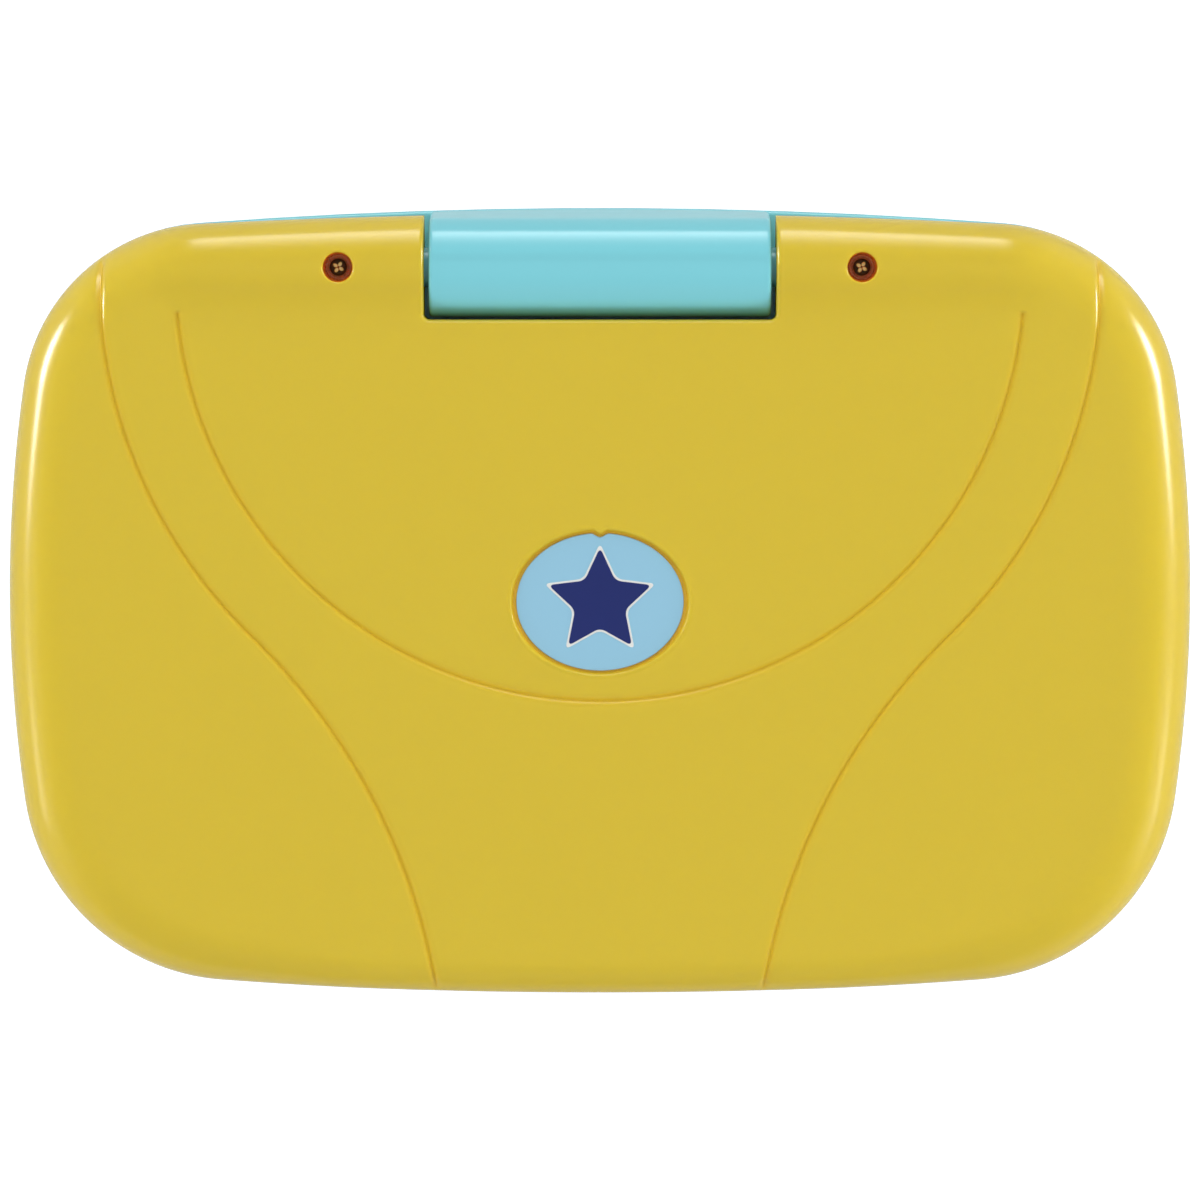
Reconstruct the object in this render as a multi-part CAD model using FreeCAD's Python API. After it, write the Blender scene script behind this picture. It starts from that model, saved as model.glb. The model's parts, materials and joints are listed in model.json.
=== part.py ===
import FreeCAD, Part
import math
import os
from FreeCAD import Vector

# Toy laptop computer, closed. +Z is up, +Y points to the hinge at the rear, and +X to the right of
# the child in front of it. The origin is on the table, under the middle of the body. Millimetres.

# Plan outline of lid and base: bowed sides and ends joined by tangent corner arcs
WIDTH = 240.0
DEPTH = 159.2
SIDE_BOW_RADIUS = 300.0
SIDE_BOW_Y = 2.0
FRONT_BOW_RADIUS = 1250.0
LID_REAR_BOW_RADIUS = 1600.0
BASE_REAR_BOW_RADIUS = 1100.0
FRONT_CORNER_RADIUS = 43.0
REAR_CORNER_RADIUS = 38.0
LID_SETBACK = 1.15
BASE_INSET = 0.4

# Heights and walls
WALL = 2.2
FOOT_PROUD = 1.5
BASE_HEIGHT = 24.5
BASE_SPLIT_HEIGHT = 12.5
SEAM_CHAMFER = 0.35
BASE_BOTTOM_EDGE = 7.0
DECK_THICKNESS = 2.4
DECK_EDGE = 1.0
LID_GAP = 0.4
LID_EDGE_RADIUS = 12.5
BEZEL_RECESS = 4.6

# Hinge along X: barrel on the base between two knuckles of the lid
KNUCKLE_RADIUS = 10.4
KNUCKLE_TAPER = 0.8
KNUCKLE_CLEARANCE = 0.6
HINGE_INSET = 0.45
LID_RISE = 8.0
BARREL_RADIUS = 10.1
BARREL_HALF_LENGTH = 34.6
BARREL_END_GAP = 1.0
NOTCH_CLEARANCE = 0.5
NOTCH_CORNER = 1.2
KNUCKLE_SHOULDER_INSET = 38.0
KNUCKLE_TIP_INSET = 21.0
KNUCKLE_SPLIT_INSET = 42.0
BEARING_LENGTH = 7.4
PIN_RADIUS = 4.0
PIN_BORE = 2.4
PIN_GRIP = 12.0
PIN_RUNNING_GAP = 0.06
PIN_PRESS_GAP = 0.02
PIN_END_GAP = 0.4
BARREL_FOOT_FRONT = 6.0
BARREL_FOOT_BACK_ANGLE = 10.0

# Fasteners
FIT_GAP = 0.25
SCREW_SHANK_RADIUS = 1.25
SCREW_HOLE_RADIUS = 1.6
SCREW_PILOT_RADIUS = 1.3
SCREW_HEAD_RADIUS = 2.1
SCREW_HEAD_HEIGHT = 1.6
SCREW_SOCKET_RADIUS = 3.0
SCREW_SLOT_WIDTH = 0.7
SCREW_SLOT_DEPTH = 0.9
SCREW_SLOT_REACH = 1.2
SCREW_BOSS_RADIUS = 4.5
LID_SCREW_OFFSET = 9.9
LID_SCREW_LENGTH = 9.5
LID_SCREW_SEAT_RISE = 3.2

# Engraved lines and badge on the lid
LINE_CENTRE_OFFSET = 1.9
INNER_LINE_RADIUS = 85.7
OUTER_LINE_RADIUS = 101.2
FRONT_LINE_RADIUS = 129.0
OUTER_LINE_TURN_ANGLE = 45.8
INNER_LINE_END_ANGLE = 5.0
LINE_TOOL_RADIUS = 1.0
LINE_DEPTH = 0.45
BADGE_LENGTH = 35.4
BADGE_BREADTH = 28.8
BADGE_DEPTH = 0.9
LABEL_THICKNESS = 0.4
LABEL_NOTCH_WIDTH = 2.6
LABEL_NOTCH_DEPTH = 0.7

# Screen in the lid
SCREEN_SIDE_INSET = 45.0
SCREEN_FRONT_INSET = 27.6
SCREEN_REAR_INSET = 47.6
SCREEN_CORNER = 6.0
SCREEN_LIP = 3.0
WINDOW_THICKNESS = 1.2
PANEL_THICKNESS = 1.6
HOLDER_RIM = 6.0
HOLDER_HEIGHT = 4.0
BOARD_THICKNESS = 1.6
LED_SIZE = 3.0
LED_HEIGHT = 1.0
LED_PITCH = 28.0
BEZEL_POST_SIDE_INSET = 24.0
BEZEL_POST_REAR_INSET = 55.6
BEZEL_POST_CORNER_INSET = 30.0
POST_RADIUS = 3.0
SMALL_SCREW_SHANK = 1.0
SMALL_SCREW_PILOT = 1.05
SMALL_SCREW_HEAD = 1.9
SMALL_SCREW_HEAD_HEIGHT = 1.2
SMALL_SCREW_BITE = 1.4
BEZEL_SCREW_BITE = 6.0

# Keys
KEY_SIDE_INSET = 52.0
KEY_REAR_INSET = 45.6
KEY_FRONT_INSET = 65.6
KEY_COLUMN_GAP = 7.0
KEY_ROW_GAP = 6.0
NUMBER_COLUMNS = 5
NUMBER_ROWS = 2
NUMBER_KEY_CORNER = 4.0
SHAPE_KEY_GAP = 5.0
SHAPE_KEY_CORNER = 3.0
SHAPE_KEYS = (("circle", 0), ("square", 4), ("triangle", 3), ("hexagon", 6))
KEY_PROUD = 3.2
KEY_TRAVEL = 2.0
KEY_GAP = 0.4
KEY_TOP_EDGE = 1.4
KEY_FLANGE = 1.5
KEY_FLANGE_THICKNESS = 1.2
KEY_FLANGE_GAP = 0.2
PLATE_THICKNESS = 1.0
PLATE_MARGIN = 6.0
PLATE_CORNER = 8.0
DOME_GAP = 0.1
DOME_HEIGHT = 3.0
DOME_RADIUS = 4.5
DOME_TOP_RADIUS = 3.2
KEYPAD_THICKNESS = 1.0
KEYPAD_MARGIN = 3.0
BOARD_MARGIN = 4.0

# Speaker behind the grille at the left front of the deck
SPEAKER_SIDE_INSET = 40.0
SPEAKER_FRONT_INSET = 27.6
SPEAKER_RADIUS = 18.0
SPEAKER_DEPTH = 7.0
SPEAKER_SHEET = 1.2
MAGNET_RADIUS = 9.0
MAGNET_HEIGHT = 4.0
CONE_RADIUS = 15.0
CONE_THROAT = 5.0
GRILLE_RADIUS = 13.0
GRILLE_HOLE_RADIUS = 1.25
GRILLE_PITCH = 4.2

# Power slider at the right front of the deck
SLIDER_SIDE_INSET = 48.0
SLIDER_FRONT_INSET = 29.6
SLIDER_TRAVEL = 6.0
SLIDER_LENGTH = 13.0
SLIDER_BREADTH = 8.0
SLIDER_PROUD = 2.6
SLIDER_STEM = 3.6
SLIDER_GAP = 0.3
SLIDER_FLANGE_LENGTH = 10.0
SLIDER_FLANGE_BREADTH = 9.0
SLIDER_TONGUE = 3.0
SLIDER_TONGUE_DROP = 3.0
SWITCH_LENGTH = 14.0
SWITCH_BREADTH = 8.0
SWITCH_HEIGHT = 6.0
SWITCH_POST_RADIUS = 2.0
SWITCH_EAR_THICKNESS = 1.0
SWITCH_DROP = 1.6

# Battery box for two cells, with a door held by a screw
BATTERY_FRONT_INSET = 27.1
CELL_RADIUS = 7.25
CELL_LENGTH = 49.5
CELL_NUB_RADIUS = 2.7
CELL_NUB_LENGTH = 1.0
CELL_GAP = 0.3
CONTACT_THICKNESS = 0.5
CONTACT_SIZE = 9.0
CONTACT_SPRING = 7.0
CONTACT_SPRING_RADIUS = 4.0
BATTERY_WALL = 1.4
DOOR_THICKNESS = 1.4
DOOR_LEDGE = 3.0
DOOR_TONGUE = 10.0
DOOR_CORNER = 3.0

# Case
CASE_SCREW_REAR_SIDE_INSET = 34.0
CASE_SCREW_REAR_INSET = 19.6
CASE_SCREW_SIDE_INSET = 13.0
CASE_SCREW_SIDE_Y = -5.0
CASE_SCREW_FRONT_X = 48.0
CASE_SCREW_FRONT_INSET = 14.6
CASE_SCREW_LENGTH = 10.0
CASE_POST_RADIUS = 3.4
CASE_SEAT_HEIGHT = 7.0
REAR_FOOT_SIDE_INSET = 23.0
REAR_FOOT_INSET = 37.6
FRONT_FOOT_SIDE_INSET = 36.0
FRONT_FOOT_INSET = 21.6
FOOT_RADIUS = 6.0
FOOT_SEAT = 1.0
TONGUE_THICKNESS = 1.1
TONGUE_HEIGHT = 2.0
BARREL_SCREW_INSET = 6.6
BARREL_SCREW_BITE = 5.0

# Wiring
CABLE_RADIUS = 1.2
CABLE_X = -10.0
CABLE_HOLE_RADIUS = 3.2
CABLE_BEND = 3.2
LID_CABLE_OFFSET = 3.3
LID_CABLE_BEND = 2.0
WIRE_RADIUS = 0.8
WIRE_BEND = 2.4
WIRE_PITCH = 4.0
BATTERY_WIRE_X = -16.0

# Parts on the underside of the main board
CHIP_X = 20.0
CHIP_Y = 16.0
CHIP_SIZE = 16.0
CHIP_HEIGHT = 2.2
CRYSTAL_GAP = 8.0
CRYSTAL_LENGTH = 10.0
CRYSTAL_BREADTH = 4.0
CRYSTAL_HEIGHT = 3.2
CRYSTAL_CORNER = 1.8
CAPACITOR_X = -24.0
CAPACITOR_PITCH = 10.0
CAPACITOR_RADIUS = 3.2
CAPACITOR_HEIGHT = 9.0

# Levels and places that follow from the sizes above
FRONT_Y = -DEPTH / 2
BASE_REAR_Y = DEPTH / 2
LID_REAR_Y = BASE_REAR_Y - LID_SETBACK
BOTTOM_Z = FOOT_PROUD
FLOOR_Z = BOTTOM_Z + WALL
SPLIT_Z = BOTTOM_Z + BASE_SPLIT_HEIGHT
DECK_Z = BOTTOM_Z + BASE_HEIGHT
DECK_UNDER_Z = DECK_Z - DECK_THICKNESS
RIM_Z = DECK_Z + LID_GAP
BEZEL_Z = RIM_Z + BEZEL_RECESS
BEZEL_BACK_Z = BEZEL_Z + WALL
HINGE_Y = LID_REAR_Y - KNUCKLE_RADIUS - HINGE_INSET
HINGE_Z = DECK_Z + KNUCKLE_RADIUS + KNUCKLE_CLEARANCE
LID_TOP_Z = HINGE_Z + LID_RISE
LID_CEILING_Z = LID_TOP_Z - WALL
ABOVE_ALL_Z = HINGE_Z + 2 * KNUCKLE_RADIUS
NOTCH_HALF = BARREL_HALF_LENGTH + BARREL_END_GAP
NOTCH_Y = HINGE_Y - BARREL_RADIUS - NOTCH_CLEARANCE
NOTCH_WALL_Y = NOTCH_Y - WALL
BEARING_X = NOTCH_HALF + BEARING_LENGTH
LID_SCREW_X = BEARING_X + LID_SCREW_OFFSET
LID_CABLE_X = -BEARING_X - LID_CABLE_OFFSET
BARREL_SCREW_X = BARREL_HALF_LENGTH - BARREL_SCREW_INSET
LINE_CENTRE_Y = HINGE_Y - LINE_CENTRE_OFFSET
KNUCKLE_SHOULDER_X = WIDTH / 2 - KNUCKLE_SHOULDER_INSET
KNUCKLE_TIP_X = WIDTH / 2 - KNUCKLE_TIP_INSET
KNUCKLE_SPLIT_X = WIDTH / 2 - KNUCKLE_SPLIT_INSET
LID_SCREW_SEAT_Z = HINGE_Z + LID_SCREW_SEAT_RISE
BEZEL_POSTS = (
    (WIDTH / 2 - BEZEL_POST_SIDE_INSET, BASE_REAR_Y - BEZEL_POST_REAR_INSET),
    (WIDTH / 2 - BEZEL_POST_CORNER_INSET, FRONT_Y + BEZEL_POST_CORNER_INSET),
)
SCREEN_FRONT_Y = FRONT_Y + SCREEN_FRONT_INSET
SCREEN_REAR_Y = BASE_REAR_Y - SCREEN_REAR_INSET
SCREEN_WIDTH = WIDTH - 2 * SCREEN_SIDE_INSET
SCREEN_HEIGHT = SCREEN_REAR_Y - SCREEN_FRONT_Y
SCREEN_Y = (SCREEN_REAR_Y + SCREEN_FRONT_Y) / 2
PANEL_WIDTH = SCREEN_WIDTH + 2 * SCREEN_LIP
PANEL_HEIGHT = SCREEN_HEIGHT + 2 * SCREEN_LIP
HOLDER_WIDTH = PANEL_WIDTH + 2 * HOLDER_RIM
HOLDER_DEPTH = PANEL_HEIGHT + 2 * HOLDER_RIM
HOLDER_BACK_Z = BEZEL_BACK_Z + HOLDER_HEIGHT
DISPLAY_BOARD_BACK_Z = HOLDER_BACK_Z + BOARD_THICKNESS
KEY_TOP_Z = DECK_Z + KEY_PROUD
KEY_FLANGE_TOP_Z = DECK_UNDER_Z - KEY_FLANGE_GAP
KEY_BOTTOM_Z = KEY_FLANGE_TOP_Z - KEY_FLANGE_THICKNESS
DOME_TOP_Z = KEY_BOTTOM_Z - DOME_GAP
KEYPAD_TOP_Z = DOME_TOP_Z - DOME_HEIGHT
MAIN_BOARD_TOP_Z = KEYPAD_TOP_Z - KEYPAD_THICKNESS
MAIN_BOARD_Z = MAIN_BOARD_TOP_Z - BOARD_THICKNESS
KEY_REAR_ROW_Y = BASE_REAR_Y - KEY_REAR_INSET
KEY_FRONT_ROW_Y = FRONT_Y + KEY_FRONT_INSET
KEY_ROW_PITCH = (KEY_REAR_ROW_Y - KEY_FRONT_ROW_Y) / NUMBER_ROWS
KEY_COLUMN_PITCH = (WIDTH - 2 * KEY_SIDE_INSET) / (NUMBER_COLUMNS - 1)
NUMBER_KEY_WIDTH = KEY_COLUMN_PITCH - KEY_COLUMN_GAP
NUMBER_KEY_DEPTH = KEY_ROW_PITCH - KEY_ROW_GAP
SHAPE_KEY_RADIUS = (KEY_ROW_PITCH - SHAPE_KEY_GAP) / 2
KEYS_HALF_WIDTH = WIDTH / 2 - KEY_SIDE_INSET + NUMBER_KEY_WIDTH / 2
KEYS_REAR_Y = KEY_REAR_ROW_Y + NUMBER_KEY_DEPTH / 2
KEYS_FRONT_Y = KEY_FRONT_ROW_Y - max(NUMBER_KEY_DEPTH / 2, SHAPE_KEY_RADIUS)
KEYPAD_REAR_Y = KEYS_REAR_Y + KEYPAD_MARGIN
MAIN_BOARD_REAR_Y = KEYPAD_REAR_Y + BOARD_MARGIN
MAIN_BOARD_FRONT_Y = KEYS_FRONT_Y - BOARD_MARGIN
BOARD_POST_X = KEYS_HALF_WIDTH + KEY_FLANGE + POST_RADIUS + FIT_GAP
BOARD_HALF_WIDTH = BOARD_POST_X + POST_RADIUS
BOARD_POSTS = (
    (BOARD_POST_X, MAIN_BOARD_REAR_Y - POST_RADIUS),
    (BOARD_POST_X, MAIN_BOARD_FRONT_Y + POST_RADIUS),
)
SPEAKER_X = SPEAKER_SIDE_INSET - WIDTH / 2
SPEAKER_Y = FRONT_Y + SPEAKER_FRONT_INSET
SLIDER_X = WIDTH / 2 - SLIDER_SIDE_INSET
SLIDER_Y = FRONT_Y + SLIDER_FRONT_INSET
SLIDER_REST_X = SLIDER_X - SLIDER_TRAVEL / 2
SWITCH_POST_REACH = (SLIDER_TRAVEL + SLIDER_FLANGE_LENGTH) / 2 + SLIDER_GAP + SWITCH_POST_RADIUS
BATTERY_Y = FRONT_Y + BATTERY_FRONT_INSET
CELL_PITCH = 2 * CELL_RADIUS + CELL_GAP
CELL_Z = BOTTOM_Z + DOOR_THICKNESS + CELL_GAP + CELL_RADIUS
BATTERY_HALF_LENGTH = (CELL_LENGTH + CELL_NUB_LENGTH + CONTACT_SPRING) / 2 + CONTACT_THICKNESS
BATTERY_HALF_BREADTH = CELL_PITCH / 2 + CELL_RADIUS + CELL_GAP
BATTERY_ROOF_Z = CELL_Z + CELL_RADIUS + CELL_GAP
DOOR_SCREW_X = BATTERY_HALF_LENGTH + DOOR_LEDGE + DOOR_TONGUE / 2
CASE_SEAT_Z = BOTTOM_Z + CASE_SEAT_HEIGHT
CASE_SCREWS = (
    (WIDTH / 2 - CASE_SCREW_REAR_SIDE_INSET, BASE_REAR_Y - CASE_SCREW_REAR_INSET),
    (WIDTH / 2 - CASE_SCREW_SIDE_INSET, CASE_SCREW_SIDE_Y),
    (CASE_SCREW_FRONT_X, FRONT_Y + CASE_SCREW_FRONT_INSET),
)
FEET = (
    (WIDTH / 2 - REAR_FOOT_SIDE_INSET, BASE_REAR_Y - REAR_FOOT_INSET),
    (WIDTH / 2 - FRONT_FOOT_SIDE_INSET, FRONT_Y + FRONT_FOOT_INSET),
)
SWITCH_TOP_Z = KEY_BOTTOM_Z - SWITCH_DROP
SPEAKER_BACK_Z = DECK_UNDER_Z - SPEAKER_DEPTH
CABLE_MEET_X = -BEARING_X


def box(x0, x1, y0, y1, z0, z1):
    return Part.makeBox(x1 - x0, y1 - y0, z1 - z0, Vector(x0, y0, z0))


def post(x, y, z0, z1, radius):
    return Part.makeCylinder(radius, z1 - z0, Vector(x, y, z0))


def hinge_rod(x0, x1, radius):
    return Part.makeCylinder(radius, x1 - x0, Vector(x0, HINGE_Y, HINGE_Z), Vector(1, 0, 0))


def mirrored(shape):
    return shape.mirror(Vector(0, 0, 0), Vector(1, 0, 0))


def both_sides(shape):
    return shape.fuse(mirrored(shape))


def mirrored_places(places):
    return [(side * x, y) for x, y in places for side in (-1, 1)]


def from_centre(centre, through, radius):
    """Point at the given radius from centre, on the ray that passes through another point."""
    return centre + (through - centre).normalize() * radius


def corner_centre(side_centre, end_centre, end_radius, corner_radius):
    """Centre of the right-hand corner arc, tangent inside the side bow and an end bow."""
    to_side = SIDE_BOW_RADIUS - corner_radius
    to_end = end_radius - corner_radius
    between = end_centre - side_centre
    span = between.Length
    along = (to_side ** 2 - to_end ** 2 + span ** 2) / (2 * span)
    across = math.sqrt(to_side ** 2 - along ** 2)
    forward = between * (1 / span)
    sideways = Vector(-forward.y, forward.x, 0)
    foot = side_centre + forward * along
    return max(foot + sideways * across, foot - sideways * across, key=lambda point: point.x)


def outline(inset, z, rear_y, rear_radius):
    """Closed plan outline at height z, moved inwards by inset."""
    side_centre = Vector(WIDTH / 2 - SIDE_BOW_RADIUS, SIDE_BOW_Y, z)
    rear_centre = Vector(0, rear_y - rear_radius, z)
    front_centre = Vector(0, FRONT_Y + FRONT_BOW_RADIUS, z)
    rear_corner = corner_centre(side_centre, rear_centre, rear_radius, REAR_CORNER_RADIUS)
    front_corner = corner_centre(side_centre, front_centre, FRONT_BOW_RADIUS, FRONT_CORNER_RADIUS)
    rear_end = from_centre(rear_centre, rear_corner, rear_radius - inset)
    side_rear = from_centre(side_centre, rear_corner, SIDE_BOW_RADIUS - inset)
    side_front = from_centre(side_centre, front_corner, SIDE_BOW_RADIUS - inset)
    front_end = from_centre(front_centre, front_corner, FRONT_BOW_RADIUS - inset)
    rear_mid = from_centre(rear_corner, (rear_end + side_rear) * 0.5, REAR_CORNER_RADIUS - inset)
    front_mid = from_centre(front_corner, (side_front + front_end) * 0.5, FRONT_CORNER_RADIUS - inset)
    side_mid = Vector(WIDTH / 2 - inset, SIDE_BOW_Y, z)
    rear = Vector(0, rear_y - inset, z)
    front = Vector(0, FRONT_Y + inset, z)
    right = [rear_end, rear_mid, side_rear, side_mid, side_front, front_mid, front_end]
    left = [Vector(-point.x, point.y, z) for point in reversed(right)]
    ring = [rear] + right + [front] + left
    ring = ring[-1:] + ring[:-1]
    count = len(ring)
    arcs = [Part.Arc(ring[i], ring[i + 1], ring[(i + 2) % count]).toShape() for i in range(0, count, 2)]
    return Part.Wire(arcs)


def level_edges(shape, z):
    return [edge for edge in shape.Edges if all(abs(vertex.Z - z) < 1e-6 for vertex in edge.Vertexes)]


def lid_block(inset, z0, z1, top_edge=0.0):
    face = Part.Face(outline(inset, z0, LID_REAR_Y, LID_REAR_BOW_RADIUS))
    block = face.extrude(Vector(0, 0, z1 - z0))
    if top_edge:
        block = block.makeFillet(top_edge, level_edges(block, z1))
    return block


def base_block(inset, z0, z1):
    reach = BASE_REAR_Y + BASE_INSET
    face = Part.Face(outline(BASE_INSET + inset, z0, reach, BASE_REAR_BOW_RADIUS))
    return face.extrude(Vector(0, 0, z1 - z0))


def rounded_polygon(corners, radius):
    """Closed wire through the corners, each rounded with the same radius."""
    bends = []
    for i, corner in enumerate(corners):
        before = (corners[i - 1] - corner).normalize()
        after = (corners[(i + 1) % len(corners)] - corner).normalize()
        half = before.getAngle(after) / 2
        run = radius / math.tan(half)
        middle = (before + after).normalize() * (radius / math.sin(half) - radius)
        bends.append((corner + before * run, corner + middle, corner + after * run))
    edges = []
    for i, bend in enumerate(bends):
        edges.append(Part.Arc(*bend).toShape())
        edges.append(Part.LineSegment(bend[2], bends[(i + 1) % len(bends)][0]).toShape())
    return Part.Wire(edges)


def rounded_slab(x0, x1, y0, y1, z0, z1, radius):
    corners = [Vector(x0, y0, z0), Vector(x1, y0, z0), Vector(x1, y1, z0), Vector(x0, y1, z0)]
    return Part.Face(rounded_polygon(corners, radius)).extrude(Vector(0, 0, z1 - z0))


def centred_slab(y, width, height, z0, z1, radius):
    return rounded_slab(-width / 2, width / 2, y - height / 2, y + height / 2, z0, z1, radius)


def screw(x, y, seat_z, up, length, shank, head, head_height):
    """Cross-head screw whose head stands on seat_z. up is 1 with the head on top, -1 below."""
    body = Part.makeCylinder(shank, length, Vector(x, y, seat_z), Vector(0, 0, -up))
    cap = Part.makeCylinder(head, head_height, Vector(x, y, seat_z), Vector(0, 0, up))
    body = body.fuse(cap).removeSplitter()
    top_z = seat_z + up * head_height
    depth = min(SCREW_SLOT_DEPTH, head_height / 2)
    low, high = sorted((top_z, top_z - up * depth))
    reach = SCREW_SLOT_REACH
    half = SCREW_SLOT_WIDTH / 2
    cross = box(x - reach, x + reach, y - half, y + half, low, high)
    return body.cut(cross.fuse(box(x - half, x + half, y - reach, y + reach, low, high)))


def main_screw(x, y, seat_z, up, length):
    return screw(x, y, seat_z, up, length, SCREW_SHANK_RADIUS, SCREW_HEAD_RADIUS, SCREW_HEAD_HEIGHT)


def small_screw(x, y, seat_z, up, length):
    return screw(x, y, seat_z, up, length, SMALL_SCREW_SHANK, SMALL_SCREW_HEAD, SMALL_SCREW_HEAD_HEIGHT)


def tube(points, radius, bend):
    """Round wire along straight runs joined by tangent arcs."""
    points = [Vector(*point) for point in points]
    edges = []
    last = points[0]
    for before, corner, after in zip(points, points[1:], points[2:]):
        back = (before - corner).normalize()
        ahead = (after - corner).normalize()
        half = back.getAngle(ahead) / 2
        run = bend / math.tan(half)
        middle = corner + (back + ahead).normalize() * (bend / math.sin(half) - bend)
        edges.append(Part.LineSegment(last, corner + back * run).toShape())
        edges.append(Part.Arc(corner + back * run, middle, corner + ahead * run).toShape())
        last = corner + ahead * run
    edges.append(Part.LineSegment(last, points[-1]).toShape())
    section = Part.Wire(Part.makeCircle(radius, points[0], points[1] - points[0]))
    return Part.Wire(edges).makePipeShell([section], True, False)


def spindle(shrink, x0):
    """Right-hand knuckle as a body of revolution on the hinge axis, with a rounded outer end."""
    root = KNUCKLE_RADIUS - shrink
    shoulder = KNUCKLE_RADIUS - KNUCKLE_TAPER - shrink
    tip_x = KNUCKLE_TIP_X - shrink
    waist = Vector((x0 + KNUCKLE_SHOULDER_X) / 2, 0, root - KNUCKLE_TAPER / 4)
    start = Vector(x0, 0, root)
    bend = Vector(KNUCKLE_SHOULDER_X, 0, shoulder)
    turn = math.radians(45)
    dome_length = tip_x - KNUCKLE_SHOULDER_X
    dome = Vector(KNUCKLE_SHOULDER_X + dome_length * math.sin(turn), 0, shoulder * math.cos(turn))
    tip = Vector(tip_x, 0, 0)
    foot = Vector(x0, 0, 0)
    edges = [
        Part.LineSegment(foot, start).toShape(),
        Part.Arc(start, waist, bend).toShape(),
        Part.Arc(bend, dome, tip).toShape(),
        Part.LineSegment(tip, foot).toShape(),
    ]
    solid = Part.Face(Part.Wire(edges)).revolve(Vector(0, 0, 0), Vector(1, 0, 0), 360)
    solid.translate(Vector(0, HINGE_Y, HINGE_Z))
    return solid


def lid_form():
    """Outer form of the whole lid, before it is parted into back cover and bezel."""
    humps = both_sides(spindle(0, NOTCH_HALF)).common(lid_block(0, RIM_Z, ABOVE_ALL_Z))
    form = lid_block(0, RIM_Z, LID_TOP_Z, LID_EDGE_RADIUS).fuse(humps)
    swing = box(-WIDTH, WIDTH, HINGE_Y, DEPTH, 0, HINGE_Z)
    swing = swing.cut(hinge_rod(-WIDTH, WIDTH, KNUCKLE_RADIUS))
    notch = rounded_slab(-NOTCH_HALF, NOTCH_HALF, NOTCH_Y, DEPTH, 0, ABOVE_ALL_Z, NOTCH_CORNER)
    return form.cut(swing).cut(notch)


def knuckle_lower_half(end_gap):
    """Space of the right-hand lower knuckle, below the hinge axis."""
    return box(NOTCH_HALF, KNUCKLE_SPLIT_X - end_gap, NOTCH_WALL_Y, DEPTH, 0, HINGE_Z)


def bearing_bores():
    return hinge_rod(-BEARING_X, BEARING_X, PIN_RADIUS + PIN_RUNNING_GAP)


def line_groove(x, y, radius, first, last):
    """Round-bottomed groove along an arc on the flat of the lid, between two bearings in degrees."""
    z = LID_TOP_Z + LINE_TOOL_RADIUS - LINE_DEPTH
    ring = Part.makeTorus(radius, LINE_TOOL_RADIUS, Vector(0, 0, 0), Vector(0, 0, 1), 0, 360, last - first)
    ring.rotate(Vector(0, 0, 0), Vector(0, 0, 1), first)
    ring.translate(Vector(x, y, z))
    return ring


def engraved_lines():
    """Inner bow round the hinge, and outer bows that turn over into lines to the front edge."""
    first = 180 + INNER_LINE_END_ANGLE
    inner = line_groove(0, LINE_CENTRE_Y, INNER_LINE_RADIUS, first, 540 - first)
    turn = OUTER_LINE_TURN_ANGLE
    outer = line_groove(0, LINE_CENTRE_Y, OUTER_LINE_RADIUS, 360 - turn, 360)
    reach = OUTER_LINE_RADIUS + FRONT_LINE_RADIUS
    x = reach * math.cos(math.radians(turn))
    y = LINE_CENTRE_Y - reach * math.sin(math.radians(turn))
    front = line_groove(x, y, FRONT_LINE_RADIUS, 180 - turn, 180)
    return both_sides(outer.fuse(front)).fuse(inner)


def badge_oval(length, breadth, z0, z1):
    ellipse = Part.Ellipse(Vector(0, 0, z0), length / 2, breadth / 2).toShape()
    return Part.Face(Part.Wire(ellipse)).extrude(Vector(0, 0, z1 - z0))


def lid_back_cover():
    form = lid_form()
    room = lid_block(WALL, RIM_Z - WALL, LID_CEILING_Z, LID_EDGE_RADIUS - WALL)
    tall_room = lid_block(2 * WALL, RIM_Z, ABOVE_ALL_Z)
    room = room.fuse(both_sides(spindle(WALL, BEARING_X)).common(tall_room))
    room = room.cut(box(-BEARING_X, BEARING_X, NOTCH_WALL_Y, DEPTH, 0, ABOVE_ALL_Z))
    cover = form.cut(room).cut(both_sides(knuckle_lower_half(0)))
    boss = post(LID_SCREW_X, HINGE_Y, HINGE_Z, ABOVE_ALL_Z, SCREW_BOSS_RADIUS).common(form)
    for x, y in BEZEL_POSTS:
        boss = boss.fuse(post(x, y, BEZEL_BACK_Z, LID_TOP_Z - WALL / 2, POST_RADIUS).common(form))
    cover = cover.fuse(both_sides(boss))
    holes = post(LID_SCREW_X, HINGE_Y, LID_SCREW_SEAT_Z, ABOVE_ALL_Z, SCREW_SOCKET_RADIUS)
    holes = holes.fuse(post(LID_SCREW_X, HINGE_Y, HINGE_Z, ABOVE_ALL_Z, SCREW_HOLE_RADIUS))
    for x, y in BEZEL_POSTS:
        holes = holes.fuse(post(x, y, BEZEL_BACK_Z, BEZEL_BACK_Z + BEZEL_SCREW_BITE, SMALL_SCREW_PILOT))
    cover = cover.cut(both_sides(holes)).cut(bearing_bores())
    cover = cover.cut(badge_oval(BADGE_LENGTH, BADGE_BREADTH, LID_TOP_Z - BADGE_DEPTH, ABOVE_ALL_Z))
    return cover.cut(engraved_lines())


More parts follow.
